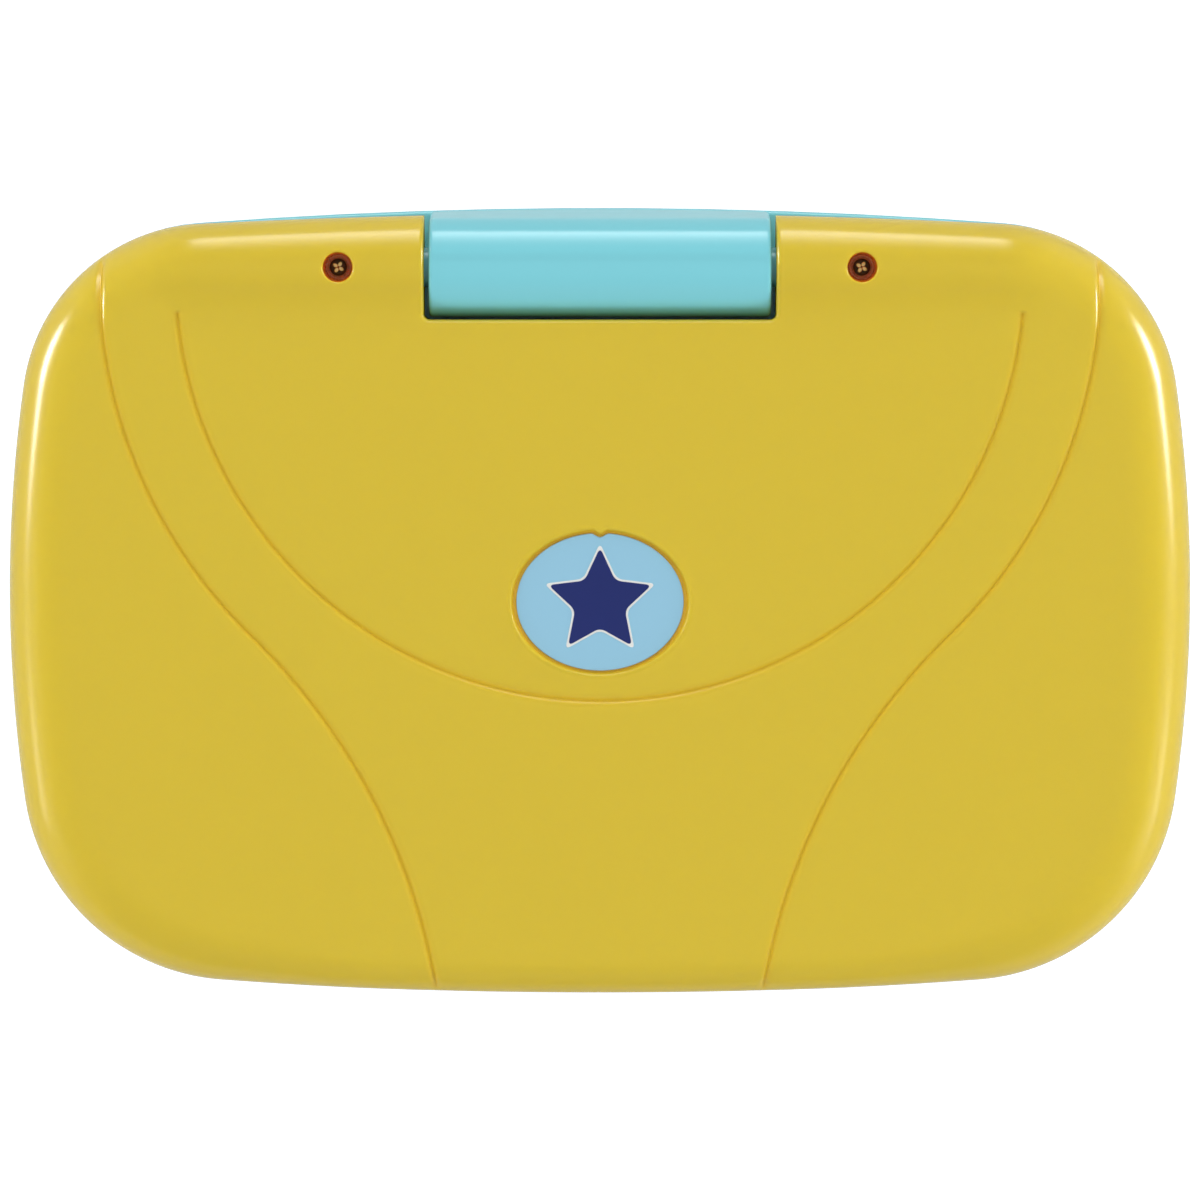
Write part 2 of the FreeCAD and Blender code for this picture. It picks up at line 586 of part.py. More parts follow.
def badge_label():
    floor_z = LID_TOP_Z - BADGE_DEPTH
    top_z = floor_z + LABEL_THICKNESS
    label = badge_oval(BADGE_LENGTH - 2 * FIT_GAP, BADGE_BREADTH - 2 * FIT_GAP, floor_z, top_z)
    edge_y = BADGE_BREADTH / 2 - FIT_GAP
    half = LABEL_NOTCH_WIDTH / 2
    corners = [Vector(-half, edge_y, floor_z), Vector(0, edge_y - LABEL_NOTCH_DEPTH, floor_z)]
    corners += [Vector(half, edge_y, floor_z), Vector(0, edge_y + LABEL_NOTCH_DEPTH, floor_z)]
    notch = Part.Face(Part.makePolygon(corners + corners[:1])).extrude(Vector(0, 0, LABEL_THICKNESS))
    return label.cut(notch)


def lid_screws():
    right = main_screw(LID_SCREW_X, HINGE_Y, LID_SCREW_SEAT_Z, 1, LID_SCREW_LENGTH)
    return Part.makeCompound([mirrored(right), right])


def screen_bezel():
    bezel = lid_block(WALL + FIT_GAP, BEZEL_Z, BEZEL_BACK_Z)
    rear_y = NOTCH_WALL_Y - FIT_GAP
    bezel = bezel.cut(box(-KNUCKLE_SPLIT_X, KNUCKLE_SPLIT_X, rear_y, DEPTH, 0, ABOVE_ALL_Z))
    opening = centred_slab(SCREEN_Y, SCREEN_WIDTH, SCREEN_HEIGHT, BEZEL_Z, BEZEL_BACK_Z, SCREEN_CORNER)
    seat_z = BEZEL_BACK_Z - WINDOW_THICKNESS
    seat = centred_slab(SCREEN_Y, PANEL_WIDTH, PANEL_HEIGHT, seat_z, BEZEL_BACK_Z, SCREEN_CORNER)
    bezel = bezel.cut(opening).cut(seat)
    for x, y in holder_screw_places():
        bezel = bezel.cut(post(x, y, BEZEL_BACK_Z - SMALL_SCREW_BITE, BEZEL_BACK_Z, SMALL_SCREW_PILOT))
    for x, y in mirrored_places(BEZEL_POSTS):
        bezel = bezel.cut(post(x, y, BEZEL_Z, BEZEL_BACK_Z, SMALL_SCREW_PILOT))
        head_z = BEZEL_Z + SMALL_SCREW_HEAD_HEIGHT
        bezel = bezel.cut(post(x, y, BEZEL_Z, head_z, SMALL_SCREW_HEAD + FIT_GAP))
    return bezel


def hinge_cap_right():
    """Lower half of the right-hand knuckle, which the lid screw clamps round the pin."""
    cap = lid_form().common(knuckle_lower_half(FIT_GAP))
    inner_x = KNUCKLE_SPLIT_X - FIT_GAP - WALL
    room = box(BEARING_X, inner_x, NOTCH_Y, HINGE_Y, RIM_Z + WALL, HINGE_Z)
    room = room.fuse(hinge_rod(BEARING_X, inner_x, KNUCKLE_RADIUS - WALL))
    room = room.common(lid_block(WALL, RIM_Z, HINGE_Z))
    boss = post(LID_SCREW_X, HINGE_Y, RIM_Z + WALL / 2, HINGE_Z, SCREW_BOSS_RADIUS)
    cap = cap.cut(room).fuse(boss.common(lid_form())).removeSplitter()
    pilot_z = LID_SCREW_SEAT_Z - LID_SCREW_LENGTH - FIT_GAP
    cap = cap.cut(post(LID_SCREW_X, HINGE_Y, pilot_z, HINGE_Z, SCREW_PILOT_RADIUS))
    return cap.cut(bearing_bores())


def bezel_screws():
    seat_z = BEZEL_Z + SMALL_SCREW_HEAD_HEIGHT
    length = BEZEL_BACK_Z + BEZEL_SCREW_BITE - FIT_GAP - seat_z
    return Part.makeCompound([small_screw(x, y, seat_z, -1, length) for x, y in mirrored_places(BEZEL_POSTS)])


def screen_window():
    width = PANEL_WIDTH - 2 * FIT_GAP
    height = PANEL_HEIGHT - 2 * FIT_GAP
    return centred_slab(SCREEN_Y, width, height, BEZEL_BACK_Z - WINDOW_THICKNESS, BEZEL_BACK_Z, SCREEN_CORNER)


def display_panel():
    width = PANEL_WIDTH - 2 * FIT_GAP
    height = PANEL_HEIGHT - 2 * FIT_GAP
    return centred_slab(SCREEN_Y, width, height, BEZEL_BACK_Z, BEZEL_BACK_Z + PANEL_THICKNESS, SCREEN_CORNER)


def holder_screw_places():
    x = (PANEL_WIDTH + HOLDER_RIM) / 2
    reach = (PANEL_HEIGHT + HOLDER_RIM) / 2
    return [(sx * x, SCREEN_Y + sy * reach) for sx in (-1, 1) for sy in (-1, 1)]


def display_holder():
    z0 = BEZEL_BACK_Z
    z1 = HOLDER_BACK_Z
    holder = centred_slab(SCREEN_Y, HOLDER_WIDTH, HOLDER_DEPTH, z0, z1, SCREEN_CORNER)
    holder = holder.cut(centred_slab(SCREEN_Y, PANEL_WIDTH, PANEL_HEIGHT, z0, z1, SCREEN_CORNER))
    for x, y in holder_screw_places():
        holder = holder.cut(post(x, y, z0, z1, SMALL_SCREW_PILOT))
    return holder


def display_board():
    z0 = HOLDER_BACK_Z
    z1 = DISPLAY_BOARD_BACK_Z
    board = centred_slab(SCREEN_Y, HOLDER_WIDTH, HOLDER_DEPTH, z0, z1, SCREEN_CORNER)
    for x, y in holder_screw_places():
        board = board.cut(post(x, y, z0, z1, SMALL_SCREW_PILOT))
    return board


def display_leds():
    half = LED_SIZE / 2
    z0 = HOLDER_BACK_Z - LED_HEIGHT
    leds = []
    for column in range(-2, 3):
        for row in (-1, 0, 1):
            x = column * LED_PITCH
            y = SCREEN_Y + row * LED_PITCH
            leds.append(box(x - half, x + half, y - half, y + half, z0, HOLDER_BACK_Z))
    return Part.makeCompound(leds)


def display_screws():
    length = DISPLAY_BOARD_BACK_Z - BEZEL_BACK_Z + SMALL_SCREW_BITE - FIT_GAP
    places = holder_screw_places()
    return Part.makeCompound([small_screw(x, y, DISPLAY_BOARD_BACK_Z, 1, length) for x, y in places])


def lid_cable():
    high_z = DISPLAY_BOARD_BACK_Z + LID_CABLE_BEND + FIT_GAP
    end_y = SCREEN_Y + HOLDER_DEPTH / 2 - HOLDER_RIM / 2
    route = [
        (CABLE_MEET_X, HINGE_Y, HINGE_Z),
        (LID_CABLE_X, HINGE_Y, HINGE_Z),
        (LID_CABLE_X, NOTCH_Y, high_z),
        (LID_CABLE_X, end_y, high_z),
        (LID_CABLE_X, end_y, DISPLAY_BOARD_BACK_Z),
    ]
    return tube(route, CABLE_RADIUS, LID_CABLE_BEND)


def hinge_barrel():
    barrel = hinge_rod(-BARREL_HALF_LENGTH, BARREL_HALF_LENGTH, BARREL_RADIUS)
    drop = BASE_REAR_BOW_RADIUS - math.sqrt(BASE_REAR_BOW_RADIUS ** 2 - BARREL_HALF_LENGTH ** 2)
    back_angle = math.radians(BARREL_FOOT_BACK_ANGLE)
    back_y = HINGE_Y + BARREL_RADIUS * math.cos(back_angle)
    back_z = HINGE_Z + BARREL_RADIUS * math.sin(back_angle)
    x = -BARREL_HALF_LENGTH
    section = [
        Vector(x, HINGE_Y - BARREL_FOOT_FRONT, DECK_Z),
        Vector(x, BASE_REAR_Y - drop - DECK_EDGE / 2, DECK_Z),
        Vector(x, back_y, back_z),
        Vector(x, HINGE_Y, HINGE_Z),
    ]
    foot = Part.Face(Part.makePolygon(section + section[:1])).extrude(Vector(2 * BARREL_HALF_LENGTH, 0, 0))
    hollow_x = BARREL_HALF_LENGTH - PIN_GRIP
    barrel = barrel.fuse(foot).cut(hinge_rod(-hollow_x, hollow_x, BARREL_RADIUS - WALL))
    barrel = barrel.cut(hinge_rod(-BARREL_HALF_LENGTH, BARREL_HALF_LENGTH, PIN_RADIUS + PIN_PRESS_GAP))
    barrel = barrel.cut(post(CABLE_X, HINGE_Y, DECK_Z, HINGE_Z, CABLE_HOLE_RADIUS))
    pilot = post(BARREL_SCREW_X, HINGE_Y, DECK_Z, DECK_Z + BARREL_SCREW_BITE, SCREW_PILOT_RADIUS)
    return barrel.cut(both_sides(pilot))


def hinge_pin_right():
    x0 = BARREL_HALF_LENGTH - PIN_GRIP
    x1 = BEARING_X - PIN_END_GAP
    return hinge_rod(x0, x1, PIN_RADIUS).cut(hinge_rod(x0, x1, PIN_BORE))


def barrel_screws():
    length = DECK_THICKNESS + BARREL_SCREW_BITE - FIT_GAP
    right = main_screw(BARREL_SCREW_X, HINGE_Y, DECK_UNDER_Z, -1, length)
    return Part.makeCompound([mirrored(right), right])


def key_places():
    """Name, number of sides and centre of each key. Number keys have no sides given."""
    places = []
    number = 0
    for row in range(NUMBER_ROWS):
        for column in range(NUMBER_COLUMNS):
            number += 1
            x = (column - (NUMBER_COLUMNS - 1) / 2) * KEY_COLUMN_PITCH
            places.append((f"number_key_{number}", None, x, KEY_REAR_ROW_Y - row * KEY_ROW_PITCH))
    for column, (name, sides) in enumerate(SHAPE_KEYS):
        x = (column - (len(SHAPE_KEYS) - 1) / 2) * KEY_COLUMN_PITCH
        places.append((f"shape_key_{name}", sides, x, KEY_FRONT_ROW_Y))
    return places


def key_prism(sides, x, y, grow, z0, z1):
    """Prism on a key's outline, grown sideways by the given amount."""
    if sides is None:
        half_width = NUMBER_KEY_WIDTH / 2 + grow
        half_depth = NUMBER_KEY_DEPTH / 2 + grow
        corner = NUMBER_KEY_CORNER + grow
        return rounded_slab(x - half_width, x + half_width, y - half_depth, y + half_depth, z0, z1, corner)
    if sides == 0:
        return post(x, y, z0, z1, SHAPE_KEY_RADIUS + grow)
    step = 2 * math.pi / sides
    reach = (SHAPE_KEY_RADIUS * (1 + 1 / sides)) + grow / math.cos(step / 2)
    first = -math.pi / 2 + step / 2
    angles = [first + i * step for i in range(sides)]
    corners = [Vector(x + reach * math.cos(a), y + reach * math.sin(a), z0) for a in angles]
    face = Part.Face(rounded_polygon(corners, SHAPE_KEY_CORNER + grow))
    return face.extrude(Vector(0, 0, z1 - z0))


def key(sides, x, y):
    cap = key_prism(sides, x, y, 0, KEY_BOTTOM_Z, KEY_TOP_Z)
    cap = cap.makeFillet(KEY_TOP_EDGE, level_edges(cap, KEY_TOP_Z))
    flange = key_prism(sides, x, y, KEY_FLANGE, KEY_BOTTOM_Z, KEY_FLANGE_TOP_Z)
    return cap.fuse(flange).removeSplitter()


def plate_slab(gap, z0, z1):
    half = KEYS_HALF_WIDTH + PLATE_MARGIN - gap
    y0 = KEYS_FRONT_Y - PLATE_MARGIN + gap
    y1 = KEYS_REAR_Y + PLATE_MARGIN - gap
    return rounded_slab(-half, half, y0, y1, z0, z1, PLATE_CORNER - gap)


def keyboard_plate():
    plate = plate_slab(FIT_GAP, DECK_Z - PLATE_THICKNESS, DECK_Z)
    for _, sides, x, y in key_places():
        plate = plate.cut(key_prism(sides, x, y, KEY_GAP, DECK_Z - PLATE_THICKNESS, DECK_Z))
    return plate


def rubber_keypad():
    half = KEYS_HALF_WIDTH - KEYPAD_MARGIN
    pad = box(-half, half, KEYS_FRONT_Y + KEYPAD_MARGIN, KEYPAD_REAR_Y, MAIN_BOARD_TOP_Z, KEYPAD_TOP_Z)
    for _, _, x, y in key_places():
        centre = Vector(x, y, KEYPAD_TOP_Z)
        pad = pad.fuse(Part.makeCone(DOME_RADIUS, DOME_TOP_RADIUS, DOME_HEIGHT, centre))
    return pad


def main_board():
    x = BOARD_HALF_WIDTH
    board = box(-x, x, MAIN_BOARD_FRONT_Y, MAIN_BOARD_REAR_Y, MAIN_BOARD_Z, MAIN_BOARD_TOP_Z)
    for px, py in mirrored_places(BOARD_POSTS):
        board = board.cut(post(px, py, MAIN_BOARD_Z, MAIN_BOARD_TOP_Z, SMALL_SCREW_PILOT))
    return board


def board_screws():
    length = BOARD_THICKNESS + SMALL_SCREW_BITE
    places = mirrored_places(BOARD_POSTS)
    return Part.makeCompound([small_screw(x, y, MAIN_BOARD_Z, -1, length) for x, y in places])


def board_parts():
    """Chip, clock crystal and two capacitors on the underside of the main board."""
    z = MAIN_BOARD_Z
    half = CHIP_SIZE / 2
    chip = box(CHIP_X - half, CHIP_X + half, CHIP_Y - half, CHIP_Y + half, z - CHIP_HEIGHT, z)
    x0 = CHIP_X + half + CRYSTAL_GAP
    x1 = x0 + CRYSTAL_LENGTH
    y0 = CHIP_Y - CRYSTAL_BREADTH / 2
    y1 = CHIP_Y + CRYSTAL_BREADTH / 2
    crystal = rounded_slab(x0, x1, y0, y1, z - CRYSTAL_HEIGHT, z, CRYSTAL_CORNER)
    parts = [chip, crystal]
    for x in (CAPACITOR_X, CAPACITOR_X - CAPACITOR_PITCH):
        parts.append(post(x, CHIP_Y, z - CAPACITOR_HEIGHT, z, CAPACITOR_RADIUS))
    return Part.makeCompound(parts)


def speaker_frame():
    """Open basket whose rim lies against the underside of the deck."""
    top = DECK_UNDER_Z
    basket = post(SPEAKER_X, SPEAKER_Y, SPEAKER_BACK_Z, top, SPEAKER_RADIUS)
    inner = post(SPEAKER_X, SPEAKER_Y, SPEAKER_BACK_Z + SPEAKER_SHEET, top, SPEAKER_RADIUS - SPEAKER_SHEET)
    return basket.cut(inner)


def speaker_cone():
    z0 = SPEAKER_BACK_Z + SPEAKER_SHEET
    z1 = DECK_UNDER_Z - SPEAKER_SHEET
    rim = SPEAKER_RADIUS - SPEAKER_SHEET - FIT_GAP
    place = Vector(SPEAKER_X, SPEAKER_Y, z0)
    cone = Part.makeCone(CONE_THROAT, CONE_RADIUS, z1 - z0, place)
    hollow_height = z1 - z0 - SPEAKER_SHEET
    hollow_place = Vector(SPEAKER_X, SPEAKER_Y, z0 + SPEAKER_SHEET)
    inner_throat = CONE_THROAT - SPEAKER_SHEET
    inner_mouth = CONE_RADIUS - SPEAKER_SHEET
    cone = cone.cut(Part.makeCone(inner_throat, inner_mouth, hollow_height, hollow_place))
    surround = post(SPEAKER_X, SPEAKER_Y, z1 - SPEAKER_SHEET, z1, rim)
    surround = surround.cut(post(SPEAKER_X, SPEAKER_Y, z1 - SPEAKER_SHEET, z1, inner_mouth))
    return cone.fuse(surround)


def speaker_magnet():
    return post(SPEAKER_X, SPEAKER_Y, SPEAKER_BACK_Z - MAGNET_HEIGHT, SPEAKER_BACK_Z, MAGNET_RADIUS)


def grille_holes():
    holes = []
    rows = int(GRILLE_RADIUS / (GRILLE_PITCH * math.sin(math.pi / 3)))
    for row in range(-rows, rows + 1):
        y = row * GRILLE_PITCH * math.sin(math.pi / 3)
        shift = GRILLE_PITCH / 2 if row % 2 else 0
        columns = int(GRILLE_RADIUS / GRILLE_PITCH) + 1
        for column in range(-columns, columns + 1):
            x = column * GRILLE_PITCH + shift
            if math.hypot(x, y) <= GRILLE_RADIUS - GRILLE_HOLE_RADIUS:
                holes.append(post(SPEAKER_X + x, SPEAKER_Y + y, DECK_UNDER_Z, DECK_Z, GRILLE_HOLE_RADIUS))
    return Part.makeCompound(holes)


def slider_box(length, breadth, z0, z1, x):
    return box(x - length / 2, x + length / 2, SLIDER_Y - breadth / 2, SLIDER_Y + breadth / 2, z0, z1)


def power_slider():
    x = SLIDER_REST_X
    knob_z = DECK_Z + KEY_FLANGE_GAP
    y = SLIDER_Y
    half_length = SLIDER_LENGTH / 2
    half = SLIDER_BREADTH / 2
    top_z = DECK_Z + SLIDER_PROUD
    knob = rounded_slab(x - half_length, x + half_length, y - half, y + half, knob_z, top_z, half - FIT_GAP)
    stem = slider_box(SLIDER_STEM, SLIDER_STEM, KEY_BOTTOM_Z, knob_z, x)
    flange = slider_box(SLIDER_FLANGE_LENGTH, SLIDER_FLANGE_BREADTH, KEY_BOTTOM_Z, KEY_FLANGE_TOP_Z, x)
    tongue = slider_box(SLIDER_TONGUE, SLIDER_TONGUE, SWITCH_TOP_Z - SLIDER_TONGUE_DROP, KEY_BOTTOM_Z, x)
    return knob.fuse(stem).fuse(flange).fuse(tongue).removeSplitter()


def slide_switch():
    z = SWITCH_TOP_Z
    body = slider_box(SWITCH_LENGTH, SWITCH_BREADTH, z - SWITCH_HEIGHT, z, SLIDER_X)
    span = 2 * (SWITCH_POST_REACH + SWITCH_POST_RADIUS)
    body = body.fuse(slider_box(span, SWITCH_BREADTH, z - SWITCH_EAR_THICKNESS, z, SLIDER_X)).removeSplitter()
    slot_length = SLIDER_TONGUE + SLIDER_TRAVEL + 2 * SLIDER_GAP
    slot_z = z - SLIDER_TONGUE_DROP - SLIDER_GAP
    return body.cut(slider_box(slot_length, SLIDER_TONGUE + 2 * SLIDER_GAP, slot_z, z, SLIDER_X))


def base_top_shell():
    shell = base_block(0, SPLIT_Z, DECK_Z)
    shell = shell.makeFillet(DECK_EDGE, level_edges(shell, DECK_Z))
    shell = shell.makeChamfer(SEAM_CHAMFER, level_edges(shell, SPLIT_Z))
    shell = shell.cut(base_block(WALL, SPLIT_Z, DECK_UNDER_Z))
    tongue_z = SPLIT_Z - TONGUE_HEIGHT
    root_z = SPLIT_Z + TONGUE_HEIGHT
    tongue = base_block(WALL + FIT_GAP, tongue_z, root_z).fuse(base_block(WALL / 2, SPLIT_Z, root_z))
    shell = shell.fuse(tongue.cut(base_block(WALL + FIT_GAP + TONGUE_THICKNESS, tongue_z, root_z)))
    seat_z = CASE_SEAT_Z + WALL
    for x, y in mirrored_places(CASE_SCREWS):
        shell = shell.fuse(post(x, y, seat_z, DECK_UNDER_Z, CASE_POST_RADIUS))
    for x, y in mirrored_places(BOARD_POSTS):
        shell = shell.fuse(post(x, y, MAIN_BOARD_TOP_Z, DECK_UNDER_Z, POST_RADIUS))
    for side in (-1, 1):
        x = SLIDER_X + side * SWITCH_POST_REACH
        shell = shell.fuse(post(x, SLIDER_Y, SWITCH_TOP_Z, DECK_UNDER_Z, SWITCH_POST_RADIUS))
    shell = shell.removeSplitter()
    for x, y in mirrored_places(CASE_SCREWS):
        shell = shell.cut(post(x, y, seat_z, CASE_SEAT_Z + CASE_SCREW_LENGTH + FIT_GAP, SCREW_PILOT_RADIUS))
    for x, y in mirrored_places(BOARD_POSTS):
        pilot_z = MAIN_BOARD_TOP_Z + SMALL_SCREW_BITE + FIT_GAP
        shell = shell.cut(post(x, y, MAIN_BOARD_TOP_Z, pilot_z, SMALL_SCREW_PILOT))
    shell = shell.cut(plate_slab(0, DECK_Z - PLATE_THICKNESS, DECK_Z))
    for _, sides, x, y in key_places():
        shell = shell.cut(key_prism(sides, x, y, KEY_GAP, DECK_UNDER_Z, DECK_Z))
    slot = SLIDER_STEM + 2 * SLIDER_GAP
    shell = shell.cut(slider_box(slot + SLIDER_TRAVEL, slot, DECK_UNDER_Z, DECK_Z, SLIDER_X))
    shell = shell.cut(grille_holes())
    shell = shell.cut(post(CABLE_X, HINGE_Y, DECK_UNDER_Z, DECK_Z, CABLE_HOLE_RADIUS))
    return shell.cut(both_sides(post(BARREL_SCREW_X, HINGE_Y, DECK_UNDER_Z, DECK_Z, SCREW_HOLE_RADIUS)))


def battery_slab(grow, z0, z1):
    x = BATTERY_HALF_LENGTH + grow
    y = BATTERY_HALF_BREADTH + grow
    return box(-x, x, BATTERY_Y - y, BATTERY_Y + y, z0, z1)


def door_slab(gap, z0, z1):
    """Outline of the battery door, with the tongue for its screw at the right."""
    x0 = -BATTERY_HALF_LENGTH - DOOR_LEDGE + gap
    x1 = BATTERY_HALF_LENGTH + DOOR_LEDGE + DOOR_TONGUE - gap
    y = BATTERY_HALF_BREADTH + DOOR_LEDGE - gap
    return rounded_slab(x0, x1, BATTERY_Y - y, BATTERY_Y + y, z0, z1, DOOR_CORNER)


def base_bottom_shell():
    shell = base_block(0, BOTTOM_Z, SPLIT_Z)
    shell = shell.makeFillet(BASE_BOTTOM_EDGE, level_edges(shell, BOTTOM_Z))
    shell = shell.makeChamfer(SEAM_CHAMFER, level_edges(shell, SPLIT_Z))
    room = base_block(WALL, FLOOR_Z, SPLIT_Z)
    room = room.makeFillet(BASE_BOTTOM_EDGE - WALL, level_edges(room, FLOOR_Z))
    shell = shell.cut(room)
    shell = shell.fuse(battery_slab(BATTERY_WALL, BOTTOM_Z + WALL / 2, BATTERY_ROOF_Z + BATTERY_WALL))
    door_boss_z = BATTERY_ROOF_Z
    shell = shell.fuse(post(DOOR_SCREW_X, BATTERY_Y, BOTTOM_Z + WALL / 2, door_boss_z, CASE_POST_RADIUS))
    for x, y in mirrored_places(CASE_SCREWS):
        shell = shell.fuse(post(x, y, BOTTOM_Z + WALL / 2, CASE_SEAT_Z + WALL, SCREW_BOSS_RADIUS))
    shell = shell.removeSplitter()
    shell = shell.cut(battery_slab(0, BOTTOM_Z, BATTERY_ROOF_Z))
    shell = shell.cut(door_slab(0, BOTTOM_Z, BOTTOM_Z + DOOR_THICKNESS))
    door_pilot_z = BOTTOM_Z + DOOR_THICKNESS + CASE_SCREW_LENGTH
    shell = shell.cut(post(DOOR_SCREW_X, BATTERY_Y, BOTTOM_Z, door_pilot_z, SCREW_PILOT_RADIUS))
    for x, y in mirrored_places(CASE_SCREWS):
        shell = shell.cut(post(x, y, BOTTOM_Z, CASE_SEAT_Z, SCREW_SOCKET_RADIUS))
        shell = shell.cut(post(x, y, BOTTOM_Z, CASE_SEAT_Z + WALL, SCREW_HOLE_RADIUS))
    for x, y in mirrored_places(FEET):
        shell = shell.cut(post(x, y, BOTTOM_Z, BOTTOM_Z + FOOT_SEAT, FOOT_RADIUS + FIT_GAP))
    return shell


def case_screws():
    places = mirrored_places(CASE_SCREWS)
    return Part.makeCompound([main_screw(x, y, CASE_SEAT_Z, -1, CASE_SCREW_LENGTH) for x, y in places])


def rubber_feet():
    feet = []
    for x, y in mirrored_places(FEET):
        foot = post(x, y, 0, BOTTOM_Z + FOOT_SEAT, FOOT_RADIUS)
        feet.append(foot.makeFillet(FOOT_PROUD / 2, level_edges(foot, 0)))
    return Part.makeCompound(feet)


def battery_door():
    door = door_slab(FIT_GAP, BOTTOM_Z, BOTTOM_Z + DOOR_THICKNESS)
    door = door.cut(post(DOOR_SCREW_X, BATTERY_Y, BOTTOM_Z, BOTTOM_Z + DOOR_THICKNESS, SCREW_HOLE_RADIUS))
    head_seat = BOTTOM_Z + DOOR_THICKNESS / 2
    return door.cut(post(DOOR_SCREW_X, BATTERY_Y, BOTTOM_Z, head_seat, SCREW_HEAD_RADIUS + FIT_GAP))


def door_screw():
    head_height = DOOR_THICKNESS / 2
    seat_z = BOTTOM_Z + head_height
    length = DOOR_THICKNESS - head_height + CASE_SCREW_LENGTH - FIT_GAP
    x = DOOR_SCREW_X
    return screw(x, BATTERY_Y, seat_z, -1, length, SCREW_SHANK_RADIUS, SCREW_HEAD_RADIUS, head_height)


def cell_rows():
    """Row centre in Y and direction of the positive end of each cell."""
    return ((BATTERY_Y - CELL_PITCH / 2, 1), (BATTERY_Y + CELL_PITCH / 2, -1))


def batteries():
    nub_x = BATTERY_HALF_LENGTH - CONTACT_THICKNESS
    cells = []
    for y, way in cell_rows():
        along = Vector(-way, 0, 0)
        nub = Part.makeCylinder(CELL_NUB_RADIUS, CELL_NUB_LENGTH, Vector(way * nub_x, y, CELL_Z), along)
        body_x = way * (nub_x - CELL_NUB_LENGTH)
        body = Part.makeCylinder(CELL_RADIUS, CELL_LENGTH, Vector(body_x, y, CELL_Z), along)
        cells.append(nub.fuse(body))
    return Part.makeCompound(cells)


def battery_contacts():
    """Flat contact at each positive end, and a contact with a spring at each negative end."""
    half = CONTACT_SIZE / 2
    inner_x = BATTERY_HALF_LENGTH - CONTACT_THICKNESS
    contacts = []
    for y, way in cell_rows():
        for side in (way, -way):
            x0, x1 = sorted((side * inner_x, side * BATTERY_HALF_LENGTH))
            contact = box(x0, x1, y - half, y + half, CELL_Z - half, CELL_Z + half)
            if side == -way:
                root = Vector(side * inner_x, y, CELL_Z)
                wide = CONTACT_SPRING_RADIUS
                spring = Part.makeCone(wide, wide / 2, CONTACT_SPRING, root, Vector(-side, 0, 0))
                contact = contact.fuse(spring)
            contacts.append(contact)
    return Part.makeCompound(contacts)


def battery_wires():
    """Two wires from the rear wall of the battery box to the underside of the main board."""
    start_y = BATTERY_Y + BATTERY_HALF_BREADTH + BATTERY_WALL
    end_y = MAIN_BOARD_FRONT_Y + POST_RADIUS
    wires = []
    for x in (BATTERY_WIRE_X, BATTERY_WIRE_X + WIRE_PITCH):
        route = [(x, start_y, CELL_Z), (x, end_y, CELL_Z), (x, end_y, MAIN_BOARD_Z)]
        wires.append(tube(route, WIRE_RADIUS, WIRE_BEND))
    return Part.makeCompound(wires)


def speaker_wires():
    """Two wires from the back of the speaker basket to the underside of the main board."""
    start_y = SPEAKER_Y + (MAGNET_RADIUS + SPEAKER_RADIUS) / 2
    end_y = MAIN_BOARD_FRONT_Y + POST_RADIUS
    low_z = SPEAKER_BACK_Z - 2 * WIRE_BEND
    wires = []
    for place in (0, 1):
        x = SPEAKER_X + (place - 0.5) * WIRE_PITCH
        end_x = SMALL_SCREW_HEAD - BOARD_POST_X + (place + 1) * WIRE_PITCH
        route = [(x, start_y, SPEAKER_BACK_Z), (x, start_y, low_z)]
        route += [(end_x, end_y, low_z), (end_x, end_y, MAIN_BOARD_Z)]
        wires.append(tube(route, WIRE_RADIUS, WIRE_BEND))
    return Part.makeCompound(wires)


def hinge_cable():
    """Cable from the main board through the deck, the barrel and the left pin, to the lid."""
    start_y = (KEYPAD_REAR_Y + MAIN_BOARD_REAR_Y) / 2
    low_z = MAIN_BOARD_TOP_Z + CABLE_BEND + FIT_GAP
    route = [
        (CABLE_X, start_y, MAIN_BOARD_TOP_Z),
        (CABLE_X, start_y, low_z),
        (CABLE_X, HINGE_Y, low_z),
        (CABLE_X, HINGE_Y, HINGE_Z),
        (CABLE_MEET_X, HINGE_Y, HINGE_Z),
    ]
    return tube(route, CABLE_RADIUS, CABLE_BEND)


